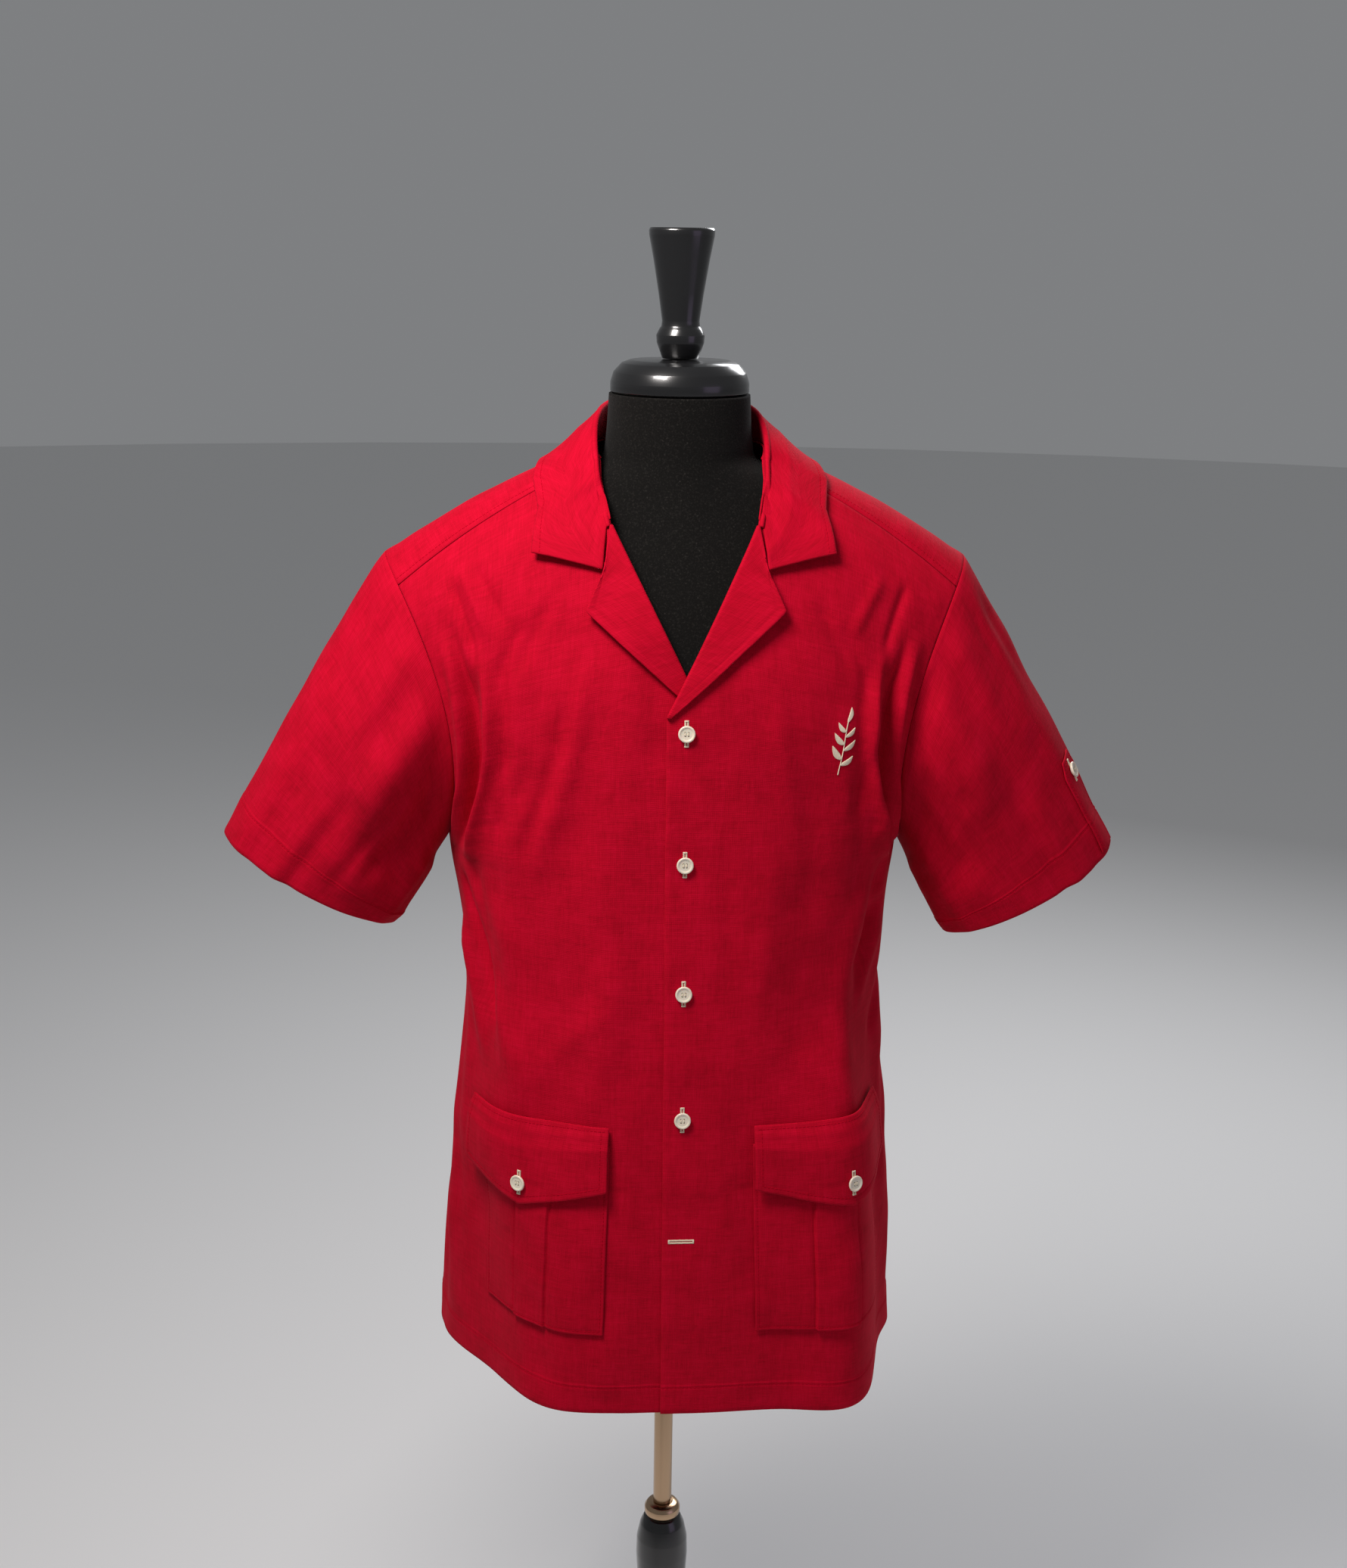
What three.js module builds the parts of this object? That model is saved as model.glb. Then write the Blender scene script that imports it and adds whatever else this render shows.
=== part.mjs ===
// A short-sleeved camp-collar shirt, buttoned on a limbless dress form with its stand.
// Millimetres, +Z up. The form faces -Y and stands on the floor, with the origin under its pole.
// Left and right are the wearer's, so the left side lies at +X.

import * as THREE from 'three'

// Cloth walls and the gaps between pieces
const CLOTH = 1.2
const COLLAR_CLOTH = 1.5
const SEAM_GAP = 0.6
const ROLL_RADIUS = 0.9
const LAYER_GAP = 0.8
const BUTTON_GAP = 0.3

// Heights of the shirt at its centre line
const HEM = 650
const ARMPIT = 1105
const ROLL_START = 1232
const FRONT_TOP = 1443
const BACK_TOP = 1345
const OVERLAP = 15

// Where the straight roll line ends at the neck, and where the neck meets the yoke seam
const NECK_BREAK = { x: 58, z: 1376 }
const NECK_SEAM = { x: 65, z: 1409 }

// Outlines of lapel and collar, seen from the front
const LAPEL_TIP = { x: 76, z: 1312 }
const NOTCH = { x: 63, z: 1344 }
const COLLAR_TIP = { x: 117, z: 1352 }
const LAPEL_TIP_SHARE = 0.62

// The armhole seam, a ring that leans in at the front and back
const ARMHOLE = { x: 214, y: 5, z: 1224, rise: 119, lean: 24, front: 80, back: 85, pinchFront: 26, pinchBack: 14 }
const FRONT_SEAM_ANGLE = 0.6
const BACK_SEAM_ANGLE = 0.98

// Neck opening seen from above
const NECK = { halfWidth: 68, halfDepth: 72, y: -8 }
const YOKE_FRONT = -30
const YOKE_BACK = 98
const NECK_FRONT_ANGLE = Math.asin((YOKE_FRONT - NECK.y) / NECK.halfDepth)

// Body sections: half width and depth in front and behind, by height at the centre line
const SECTIONS = [
  { height: 650, half: 203, front: 172, back: 152 },
  { height: 740, half: 198, front: 168, back: 148 },
  { height: 835, half: 188, front: 161, back: 142 },
  { height: 980, half: 175, front: 149, back: 134 },
  { height: 1040, half: 179, front: 143, back: 132 },
  { height: 1105, half: 190, front: 138, back: 133 },
  { height: 1165, half: 190, front: 135, back: 133 },
  { height: 1225, half: 190, front: 131, back: 130 },
  { height: 1280, half: 190, front: 122, back: 121 },
  { height: 1345, half: 190, front: 102, back: 98 },
  { height: 1395, half: 190, front: 79, back: 80 },
  { height: 1443, half: 190, front: 30, back: 60 }
]

// How much of each row is a rounded section, the rest is straight from centre to edge
const ROUNDNESS = [
  { height: 650, front: 1, back: 1 },
  { height: 1105, front: 1, back: 1 },
  { height: 1225, front: 0.62, back: 0.62 },
  { height: 1345, front: 0.42, back: 0.4 },
  { height: 1443, front: 0.3, back: 0.4 }
]
const SECTION_POWER = 2.25

// The yoke from its front seam over the shoulder to its back seam, by depth at the centre line
const YOKE_ROWS = [
  { depth: YOKE_FRONT, top: FRONT_TOP, angle: FRONT_SEAM_ANGLE, round: 0.3 },
  { depth: 3, top: 1450, angle: 0, round: 0.25 },
  { depth: 34, top: 1446, angle: -0.32, round: 0.25 },
  { depth: 64, top: 1430, angle: -0.6, round: 0.3 },
  { depth: 84, top: 1391, angle: -0.8, round: 0.35 },
  { depth: YOKE_BACK, top: BACK_TOP, angle: -BACK_SEAM_ANGLE, round: 0.4 }
]

// Sleeve hem ring: centre, long half axis towards the outside, short half axis in depth
const SLEEVE_HEM = { x: 306, y: -6, z: 1071, out: 70, up: 40, depth: 60 }
const SLEEVE_LENGTH = 260
const SLEEVE_GAP = 1
const SLEEVE_CAP = 3

// Soft folds of the fronts, by distance from centre front and height: positive stands out
const FRONT_FOLDS = [
  { g0: 226, z0: 1310, g1: 218, z1: 1120, width: 13, depth: -7 },
  { g0: 204, z0: 1290, g1: 196, z1: 1090, width: 14, depth: 5 },
  { g0: 196, z0: 1110, g1: 172, z1: 985, width: 11, depth: -6 },
  { g0: 160, z0: 1080, g1: 132, z1: 905, width: 16, depth: 5 },
  { g0: 225, z0: 1060, g1: 232, z1: 720, width: 19, depth: 6 },
  { g0: 104, z0: 1200, g1: 98, z1: 930, width: 20, depth: -3 },
  { g0: 262, z0: 1000, g1: 268, z1: 655, width: 16, depth: -5 },
  { g0: 120, z0: 1345, g1: 166, z1: 1290, width: 9, depth: -2.5 }
]

// Where the hem of a front hangs lower, by distance from centre front and height
const SAG_AT = 132
const SAG_WIDTH = 60
const SAG_TOP = 800

// The two sides of the shirt differ in how the front swings out near its hem and in how the sleeve hangs
const LEFT = {
  name: 'left',
  lapsOver: true,
  folds: [
    ...FRONT_FOLDS,
    { g0: 126, z0: 960, g1: 130, z1: 540, width: 38, depth: 23 },
    { g0: 214, z0: 860, g1: 214, z1: 540, width: 30, depth: -7 }
  ],
  hemSag: 9,
  sleeveDrop: 13,
  tabAngle: 0.42
}
const RIGHT = {
  name: 'right',
  lapsOver: false,
  folds: [
    ...FRONT_FOLDS,
    { g0: 150, z0: 980, g1: 146, z1: 740, width: 36, depth: 6 },
    { g0: 88, z0: 880, g1: 92, z1: 540, width: 34, depth: 8 },
    { g0: 176, z0: 850, g1: 182, z1: 540, width: 54, depth: -15 }
  ],
  hemSag: 0,
  sleeveDrop: 0,
  tabAngle: -0.5
}

// Soft folds of the back half, by distance from centre back and height
const BACK_FOLDS = [
  { g0: 172, z0: 1290, g1: 176, z1: 1110, width: 14, depth: -6 },
  { g0: 150, z0: 1280, g1: 150, z1: 1060, width: 15, depth: 4 },
  { g0: 60, z0: 1120, g1: 74, z1: 760, width: 24, depth: 5 },
  { g0: 120, z0: 1060, g1: 134, z1: 655, width: 22, depth: -5 },
  { g0: 205, z0: 1080, g1: 214, z1: 660, width: 20, depth: 6 },
  { g0: 22, z0: 960, g1: 18, z1: 655, width: 18, depth: -4 }
]

// Soft folds of a sleeve, by angle round it and share of its length
const SLEEVE_FOLDS = [
  { angle: 2.15, from: 0.02, to: 0.8, width: 0.26, depth: -9 },
  { angle: 1.55, from: 0.05, to: 0.7, width: 0.24, depth: 5 },
  { angle: -2.1, from: 0.02, to: 0.75, width: 0.3, depth: -8 },
  { angle: -1.4, from: 0.1, to: 0.9, width: 0.28, depth: 4 },
  { angle: 0.7, from: 0.3, to: 1.1, width: 0.3, depth: 3 },
  { angle: 2.9, from: 0.2, to: 1.1, width: 0.25, depth: 4 }
]

// Front buttons and the patch pockets
const BUTTON = { radius: 6.8, thick: 3, rim: 1.2 }
const FIRST_BUTTON = 1222
const BUTTON_STEP = 105
const FRONT_BUTTONS = 4
const POCKET = { inner: 61, outer: 164, top: 884, bottom: 722, gap: 1.3, pleatHalf: 0.12, pleatRise: 1.7 }
const FLAP = { inner: 60, outer: 168, top: 900, side: 848, point: 827, lift: 3.4, stand: 5 }
const FLAP_BUTTON_HEIGHT = 846
const TAB = { halfAngle: 0.2, top: 0.66, bottom: 0.985, button: 0.71 }

// The dress form, section by section from its base to the neck
const FORM_SECTIONS = [
  { z: 716, half: 160, front: 104, back: 104, power: 2.3 },
  { z: 722, half: 166, front: 110, back: 109, power: 2.3 },
  { z: 780, half: 170, front: 114, back: 113, power: 2.3 },
  { z: 850, half: 165, front: 111, back: 110, power: 2.3 },
  { z: 930, half: 154, front: 104, back: 102, power: 2.3 },
  { z: 1000, half: 152, front: 104, back: 102, power: 2.3 },
  { z: 1070, half: 162, front: 111, back: 110, power: 2.3 },
  { z: 1140, half: 172, front: 119, back: 117, power: 2.3 },
  { z: 1200, half: 184, front: 123, back: 120, power: 2.2 },
  { z: 1250, half: 196, front: 117.8, back: 116, power: 2.1 },
  { z: 1290, half: 204, front: 105, back: 107, power: 2 },
  { z: 1320, half: 206, front: 94, back: 97, power: 1.8 },
  { z: 1340, half: 202, front: 86, back: 88, power: 1.6 },
  { z: 1358, half: 187, front: 79, back: 81, power: 1.45 },
  { z: 1376, half: 161.5, front: 72, back: 75, power: 1.4 },
  { z: 1394, half: 121.5, front: 66, back: 69, power: 1.5 },
  { z: 1408, half: 88.5, front: 62, back: 63, power: 1.7 },
  { z: 1420, half: 65, front: 60, back: 60, power: 1.9 },
  { z: 1432, half: 60, front: 59, back: 59.5, power: 2 },
  { z: 1472, half: 57, front: 57, back: 57, power: 2 }
]

// Turned pieces as radius and height, from the bottom up
const CAP_PROFILE = [[0, 1472.3], [54, 1472.3], [56, 1474], [56, 1481], [53.5, 1489], [47, 1496], [40, 1498.5], [0, 1499.5]]
const FINIAL_PROFILE = [
  [0, 1499.8], [14.5, 1499.8], [16, 1504], [19, 1512], [19.5, 1518], [17, 1523], [15.5, 1525],
  [15, 1529], [18, 1550], [22.5, 1577], [26, 1595], [26.2, 1599], [25, 1601], [14, 1600], [0, 1599]
]
const POLE = { radius: 8.5, bottom: 447, top: 715.7 }
const RING_PROFILE = [[0, 434.3], [15, 434.3], [16.5, 436], [16.5, 442], [14, 445.5], [10, 446.7], [0, 446.7]]
const HUB_PROFILE = [
  [0, 24.3], [46, 24.3], [44, 32], [31, 46], [23, 74], [19, 130], [18.5, 230], [20.5, 330], [24, 392],
  [23.5, 410], [20.5, 424], [17, 432], [14, 434], [0, 434]
]
const BASE_PROFILE = [[0, 0], [168, 0], [172, 3], [172, 12], [166, 19], [140, 23], [60, 24], [0, 24]]

const COLOURS = {
  cloth: { color: 0xb50a1c, roughness: 0.85 },
  button: { color: 0xeee4cc, roughness: 0.3 },
  jersey: { color: 0x16150f, roughness: 0.95 },
  gloss: { color: 0x0b0b0c, roughness: 0.15 },
  metal: { color: 0x8a6a4c, roughness: 0.3, metalness: 1 }
}

const shirt = new THREE.Group()
const stand = new THREE.Group()

const mix = (a, b, share) => a + (b - a) * share
const steps = (from, to, count) => Array.from({ length: count + 1 }, (_, i) => mix(from, to, i / count))
const point = (x, y, z) => new THREE.Vector3(x, y, z)
const mirrored = p => point(-p.x, p.y, p.z)

function smooth (from, to, value) {
  const share = Math.min(Math.max((value - from) / (to - from), 0), 1)
  return share * share * (3 - 2 * share)
}

// A smooth value between the rows of a table, by the column named key
function between (table, key, column, at) {
  const last = table.length - 1
  let row = 0
  while (row < last - 1 && table[row + 1][key] < at) row += 1
  const slope = i => {
    const before = table[Math.max(i - 1, 0)]
    const after = table[Math.min(i + 1, last)]
    return (after[column] - before[column]) / (after[key] - before[key])
  }
  const low = table[row]
  const high = table[row + 1]
  const span = high[key] - low[key]
  const t = Math.min(Math.max((at - low[key]) / span, 0), 1)
  return low[column] * (1 - t) ** 2 * (1 + 2 * t) + high[column] * t * t * (3 - 2 * t) +
    slope(row) * span * t * (1 - t) ** 2 - slope(row + 1) * span * t * t * (1 - t)
}

// The armhole seam: 0 at the shoulder point, pi at the armpit, positive in front
function armhole (angle) {
  const side = Math.sin(angle)
  const reach = side > 0 ? ARMHOLE.front : ARMHOLE.back
  const pinch = side > 0 ? ARMHOLE.pinchFront : ARMHOLE.pinchBack
  return point(
    ARMHOLE.x + ARMHOLE.lean * Math.cos(angle) - pinch * side * side,
    ARMHOLE.y - reach * side,
    ARMHOLE.z + ARMHOLE.rise * Math.cos(angle)
  )
}

// One point of a row that runs from the centre line to the side or armhole
function rowPoint (centre, edge, share, round) {
  const angle = share * Math.PI / 2
  const sine = Math.sin(angle)
  const cosine = Math.max(Math.cos(angle), 0)
  const reach = (sine ** SECTION_POWER + cosine ** SECTION_POWER) ** (-1 / SECTION_POWER)
  const across = mix(share, reach * sine, round)
  const deep = mix(share, 1 - reach * cosine, round)
  return point(
    mix(centre.x, edge.x, across),
    mix(centre.y, edge.y, deep),
    mix(centre.z, edge.z, mix(deep, across, 0.35))
  )
}

// Where a front or back row ends: at the side seam, and above the armpit on the armhole
function rowEdge (height, top, seamAngle, power, facing) {
  if (height <= ARMPIT) return point(between(SECTIONS, 'height', 'half', height), ARMHOLE.y, height)
  const climb = Math.min((height - ARMPIT) / (top - ARMPIT), 1) ** power
  return armhole(facing * (Math.PI - (Math.PI - seamAngle) * climb))
}

function frontBase (share, height) {
  const centre = point(0, -between(SECTIONS, 'height', 'front', height), height)
  const edge = rowEdge(height, FRONT_TOP, FRONT_SEAM_ANGLE, 0.7, 1)
  const p = rowPoint(centre, edge, Math.abs(share), between(ROUNDNESS, 'height', 'front', height))
  return share < 0 ? mirrored(p) : p
}

function backBase (share, height) {
  const centre = point(0, between(SECTIONS, 'height', 'back', height), height)
  const edge = rowEdge(height, BACK_TOP, BACK_SEAM_ANGLE, 0.75, -1)
  return rowPoint(centre, edge, share, between(ROUNDNESS, 'height', 'back', height))
}

function yokeFace (share, depth) {
  const centre = point(0, depth, between(YOKE_ROWS, 'depth', 'top', depth))
  const edge = armhole(between(YOKE_ROWS, 'depth', 'angle', depth))
  return rowPoint(centre, edge, share, between(YOKE_ROWS, 'depth', 'round', depth))
}

// The outward direction of a surface given by two parameters
function outward (surface, a, b, stepA, stepB, facing) {
  const across = surface(a + stepA, b).sub(surface(a - stepA, b))
  const along = surface(a, b + stepB).sub(surface(a, b - stepB))
  return across.cross(along).normalize().multiplyScalar(facing)
}

// The sum of soft folds at a place, each a trough or ridge that fades at both ends
function foldShift (folds, g, z) {
  let shift = 0
  for (const fold of folds) {
    const dg = fold.g1 - fold.g0
    const dz = fold.z1 - fold.z0
    const share = ((g - fold.g0) * dg + (z - fold.z0) * dz) / (dg * dg + dz * dz)
    const away = Math.abs((g - fold.g0) * dz - (z - fold.z0) * dg) / Math.hypot(dg, dz)
    const fade = smooth(-0.08, 0.22, share) * (1 - smooth(0.72, 1.12, share))
    shift += fold.depth * fade * Math.exp(-((away / fold.width) ** 2))
  }
  return shift
}

const QUARTER_GIRTH = 285
const EDGE_STEP = { share: 0.01, height: 2 }

// Folds end before the seams, so that neighbouring pieces keep their shared edge
const seamFade = (share, height, top) => (1 - smooth(0.9, 1, share)) * (1 - smooth(top - 70, top - 15, height))

// Visible face of a front, with its folds
function frontFace (share, height, side) {
  const at = Math.abs(share)
  const shift = foldShift(side.folds, at * QUARTER_GIRTH, height) * seamFade(at, height, FRONT_TOP)
  const direction = outward(frontBase, Math.min(share, 0.985), height, EDGE_STEP.share, EDGE_STEP.height, 1)
  const spread = Math.exp(-(((at * QUARTER_GIRTH - SAG_AT) / SAG_WIDTH) ** 2))
  const sag = side.hemSag * spread * (1 - smooth(HEM, SAG_TOP, height))
  return frontBase(share, height).addScaledVector(direction, shift).add(point(0, 0, -sag))
}

function backFace (share, height) {
  const shift = foldShift(BACK_FOLDS, share * QUARTER_GIRTH, height) * seamFade(share, height, BACK_TOP)
  const at = Math.min(Math.max(share, 0.011), 0.985)
  const direction = outward(backBase, at, Math.min(height, BACK_TOP - 3), EDGE_STEP.share, EDGE_STEP.height, -1)
  if (share === 0) direction.setX(0)
  return backBase(share, height).addScaledVector(direction, shift)
}

function frontNormal (share, height, side) {
  const face = (a, b) => frontFace(a, b, side)
  return outward(face, Math.min(share, 0.985), Math.min(height, FRONT_TOP - 4), EDGE_STEP.share, EDGE_STEP.height, 1)
}

// How far the lower front is tucked in where the other front laps over it
const TUCK = [
  { height: 650, depth: 2.2 },
  { height: 1160, depth: 2.2 },
  { height: 1215, depth: 5.4 },
  { height: 1262, depth: 5.4 },
  { height: 1300, depth: 0 },
  { height: 1443, depth: 0 }
]
const tuckDepth = p => between(TUCK, 'height', 'depth', p.z) * (1 - smooth(18, 50, p.x))

// A point of a front, moved out by lift and tucked in on the lower front
function frontPoint (share, height, lift, side) {
  const p = frontFace(share, height, side)
  const out = lift - (side.lapsOver ? 0 : tuckDepth(p))
  return p.addScaledVector(frontNormal(share, height, side), out)
}

// The place on the front whose view from the front is x, z
function locate (x, z) {
  let share = x / 230
  let height = z
  for (let round = 0; round < 25; round += 1) {
    const p = frontBase(share, height)
    const pa = frontBase(share + 0.001, height)
    const ph = frontBase(share, height + 0.1)
    const xa = (pa.x - p.x) / 0.001
    const za = (pa.z - p.z) / 0.001
    const xh = (ph.x - p.x) / 0.1
    const zh = (ph.z - p.z) / 0.1
    const det = xa * zh - xh * za
    share += ((x - p.x) * zh - (z - p.z) * xh) / det
    height += ((z - p.z) * xa - (x - p.x) * za) / det
    height = Math.min(height, FRONT_TOP)
  }
  return { share, height }
}

// The edge of the front opening, as x for a height
function openingX (z) {
  if (z <= ROLL_START) return -OVERLAP
  if (z <= NECK_BREAK.z) return mix(-OVERLAP, NECK_BREAK.x, (z - ROLL_START) / (NECK_BREAK.z - ROLL_START))
  const climb = Math.min((z - NECK_BREAK.z) / (NECK_SEAM.z - NECK_BREAK.z), 1)
  return mix(NECK_BREAK.x, NECK_SEAM.x, climb)
}

// Share of the row at which a front begins
function frontStart (height) {
  let low = -0.2
  let high = 0.6
  for (let round = 0; round < 40; round += 1) {
    const middle = (low + high) / 2
    const p = frontBase(middle, height)
    if (p.x < openingX(p.z)) low = middle
    else high = middle
  }
  return high
}

// Share of the yoke row at which the neck opening ends
function yokeStart (depth) {
  if (depth >= NECK.y + NECK.halfDepth) return 0
  let low = 0
  let high = 0.6
  for (let round = 0; round < 40; round += 1) {
    const middle = (low + high) / 2
    const p = yokeFace(middle, depth)
    const inside = (p.x / NECK.halfWidth) ** 2 + ((p.y - NECK.y) / NECK.halfDepth) ** 2 < 1
    if (inside) low = middle
    else high = middle
  }
  return high
}

// Row of the front at which the roll line reaches the neck
function breakHeight () {
  let low = ROLL_START
  let high = FRONT_TOP
  for (let round = 0; round < 40; round += 1) {
    const middle = (low + high) / 2
    if (frontBase(frontStart(middle), middle).z < NECK_BREAK.z) low = middle
    else high = middle
  }
  return high
}

// A closed wall behind the visible points of grids, which may share edges
function wall (grids, thickness) {
  const points = []
  const known = new Map()
  const triangles = []
  const numberOf = p => {
    const key = p.toArray().map(value => value.toFixed(3)).join()
    if (!known.has(key)) {
      known.set(key, points.length)
      points.push(p)
    }
    return known.get(key)
  }
  const addTriangle = (a, b, c) => {
    if (a !== b && b !== c && a !== c) triangles.push([a, b, c])
  }
  for (const rows of grids) {
    const numbers = rows.map(row => row.map(numberOf))
    for (let i = 0; i < rows.length - 1; i += 1) {
      for (let j = 0; j < rows[i].length - 1; j += 1) {
        const a = numbers[i][j]
        const b = numbers[i][j + 1]
        const c = numbers[i + 1][j + 1]
        const d = numbers[i + 1][j]
        addTriangle(a, b, c)
        addTriangle(a, c, d)
      }
    }
  }
  const normals = points.map(() => point(0, 0, 0))
  const edges = new Set()
  for (const [a, b, c] of triangles) {
    const face = points[b].clone().sub(points[a]).cross(points[c].clone().sub(points[a]))
    for (const corner of [a, b, c]) normals[corner].add(face)
    for (const edge of [[a, b], [b, c], [c, a]]) edges.add(edge.join())
  }
  const inner = points.map((p, i) => p.clone().addScaledVector(normals[i].normalize(), -thickness))
  const count = points.length
  const faces = []
  for (const [a, b, c] of triangles) faces.push(a, b, c, count + a, count + c, count + b)
  for (const edge of edges) {
    const [a, b] = edge.split(',').map(Number)
    if (!edges.has(`${b},${a}`)) faces.push(b, a, count + a, b, count + a, count + b)
  }
  const geometry = new THREE.BufferGeometry()
  const positions = [...points, ...inner].flatMap(p => p.toArray())
  geometry.setAttribute('position', new THREE.Float32BufferAttribute(positions, 3))
  geometry.setIndex(faces)
  geometry.computeVertexNormals()
  return geometry
}

function add (group, name, geometry, look) {
  const mesh = new THREE.Mesh(geometry, new THREE.MeshStandardMaterial(COLOURS[look]))
  mesh.name = name
  group.add(mesh)
  return mesh
}

const mirrorGrid = rows => rows.map(row => row.map(mirrored).reverse())
const flipGrid = rows => rows.map(row => [...row].reverse())

const BREAK_HEIGHT = breakHeight()
const SHARE_GAP = SEAM_GAP / 2 / QUARTER_GIRTH
const ROLL_ROWS = steps(ROLL_START, BREAK_HEIGHT, 8)
const FRONT_HEIGHTS = [
  ...steps(HEM, ROLL_START, 17).slice(0, -1),
  ...ROLL_ROWS,
  ...steps(BREAK_HEIGHT, FRONT_TOP - SEAM_GAP, 3).slice(1)
]
const FRONT_COLUMNS = 14

// Outer edge of the lapel beside a place on the roll line
function lapelEdge (roll) {
  const start = { x: -OVERLAP, z: ROLL_START }
  const low = roll < LAPEL_TIP_SHARE
  const share = low ? roll / LAPEL_TIP_SHARE : (roll - LAPEL_TIP_SHARE) / (1 - LAPEL_TIP_SHARE)
  const from = low ? start : LAPEL_TIP
  const to = low ? LAPEL_TIP : NOTCH
  return locate(mix(from.x, to.x, share), mix(from.z, to.z, share))
}

const LAPEL_COLUMNS = 5

// The lapel grows out of the roll line and lies over the front, standing off towards its edge
function lapelRow (index, side) {
  const height = ROLL_ROWS[index]
  const start = frontStart(height)
  const edge = lapelEdge(index / (ROLL_ROWS.length - 1))
  const rim = frontPoint(start, height, 0, side)
  const width = frontFace(edge.share, edge.height, side).distanceTo(frontFace(start, height, side))
  const across = frontFace(start + 0.01, height, side).sub(frontFace(start, height, side)).normalize()
  const normal = frontNormal(start, height, side)
  const turn = rim.clone().addScaledVector(normal, ROLL_RADIUS).addScaledVector(across, -ROLL_RADIUS)
  const row = [rim, turn]
  for (const share of steps(0, 1, LAPEL_COLUMNS)) {
    const lift = 2 * ROLL_RADIUS + 0.05 * width * share
    row.push(frontPoint(mix(start, edge.share, share), mix(height, edge.height, share), lift, side))
  }
  return row.reverse()
}

// A front with its lapel; the lower one carries the buttons and is tucked under the other
function frontPanel (side) {
  const rows = FRONT_HEIGHTS.map(height => {
    const start = frontStart(height)
    return steps(start, 1 - SHARE_GAP, FRONT_COLUMNS).map(share => frontPoint(share, height, 0, side))
  })
  const lapel = ROLL_ROWS.map((_, index) => index).slice(1).map(index => lapelRow(index, side))
  return [rows, lapel]
}

function backPanel () {
  const heights = steps(HEM, BACK_TOP - SEAM_GAP, 19)
  const half = heights.map(height => steps(0, 1 - SHARE_GAP, 11).map(share => backFace(share, height)))
  return [flipGrid(half), flipGrid(mirrorGrid(half))]
}

// Depths at the centre line of the yoke rows, closer together where the neck curve turns
const YOKE_DEPTHS = [
  ...steps(NECK_FRONT_ANGLE, Math.PI / 2, 8).map(angle => NECK.y + NECK.halfDepth * Math.sin(angle)),
  ...steps(NECK.y + NECK.halfDepth, YOKE_BACK - SEAM_GAP / 2, 4).slice(1)
]

function yokePanel () {
  const half = YOKE_DEPTHS.map((depth, index) => {
    const at = index === 0 ? YOKE_FRONT + SEAM_GAP : depth
    return steps(yokeStart(at), 1, 9).map(share => yokeFace(share, at))
  })
  return [half, mirrorGrid(half)]
}

// A point of the sleeve: angle round it from the shoulder line, share of its length
function sleeveBase (angle, share, side) {
  const start = armhole(angle)
  const end = point(
    SLEEVE_HEM.x + SLEEVE_HEM.out * Math.cos(angle),
    SLEEVE_HEM.y - SLEEVE_HEM.depth * Math.sin(angle),
    SLEEVE_HEM.z - side.sleeveDrop + SLEEVE_HEM.up * Math.cos(angle)
  )
  const outside = Math.max(Math.cos(angle), 0)
  const cap = SLEEVE_CAP * outside * Math.sin(Math.PI * Math.min(Math.max(share, 0), 1) ** 0.55)
  const puff = 7 * Math.sin(Math.PI * share) * Math.abs(Math.sin(angle))
  return start.lerp(end, share).add(point(cap, -puff * Math.sign(Math.sin(angle)), cap * 0.55))
}

function sleevePoint (angle, share, lift, side) {
  let shift = lift
  for (const fold of SLEEVE_FOLDS) {
    const away = Math.atan2(Math.sin(angle - fold.angle), Math.cos(angle - fold.angle))
    const fade = smooth(fold.from, fold.from + 0.2, share) * (1 - smooth(fold.to - 0.25, fold.to, share))
    shift += fold.depth * fade * Math.exp(-((away / fold.width) ** 2))
  }
  const direction = outward((a, b) => sleeveBase(a, b, side), angle, share, 0.02, 0.01, 1)
  return sleeveBase(angle, share, side).addScaledVector(direction, shift)
}

function sleevePanel (side) {
  const rows = steps(SLEEVE_GAP / SLEEVE_LENGTH, 1, 9).map(share =>
    steps(-Math.PI, Math.PI, 22).map(angle => sleevePoint(angle, share, 0, side)))
  return [rows]
}

// The fold line of the collar from the neck break to the centre back
const COLLAR_FOLD = new THREE.CatmullRomCurve3([
  point(58.5, -78.5, 1378), point(64, -58, 1402), point(66.5, -36, 1426), point(64.5, 0, 1451),
  point(53, 36, 1461), point(29, 58.5, 1465.5), point(0, 65, 1467), point(-29, 58.5, 1465.5)
])
const COLLAR_FOLD_END = 6 / 7

// The ground that the collar lies on, row by row from its front edge to the centre back
const COLLAR_GROUND = [
  { row: 0, on: 'front' },
  { row: 3, on: 'front' },
  { row: 4, on: 'yoke' },
  { row: 12, on: 'yoke' }
]
const COLLAR_ROWS = COLLAR_GROUND[3].row
const COLLAR_FRONT_ROWS = COLLAR_GROUND[1].row

// Outer edge of the collar on the yoke: share of the row and depth at the centre line
const COLLAR_EDGE = [
  { row: 4, share: 0.44, depth: -24 },
  { row: 5, share: 0.42, depth: -6 },
  { row: 7, share: 0.375, depth: 34 },
  { row: 9, share: 0.255, depth: 66 },
  { row: 11, share: 0.09, depth: 79 },
  { row: 12, share: 0, depth: 81 }
]
const COLLAR_SHOULDER = { x: 112, z: 1385 }
const GORGE_GAP = 1.6

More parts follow.
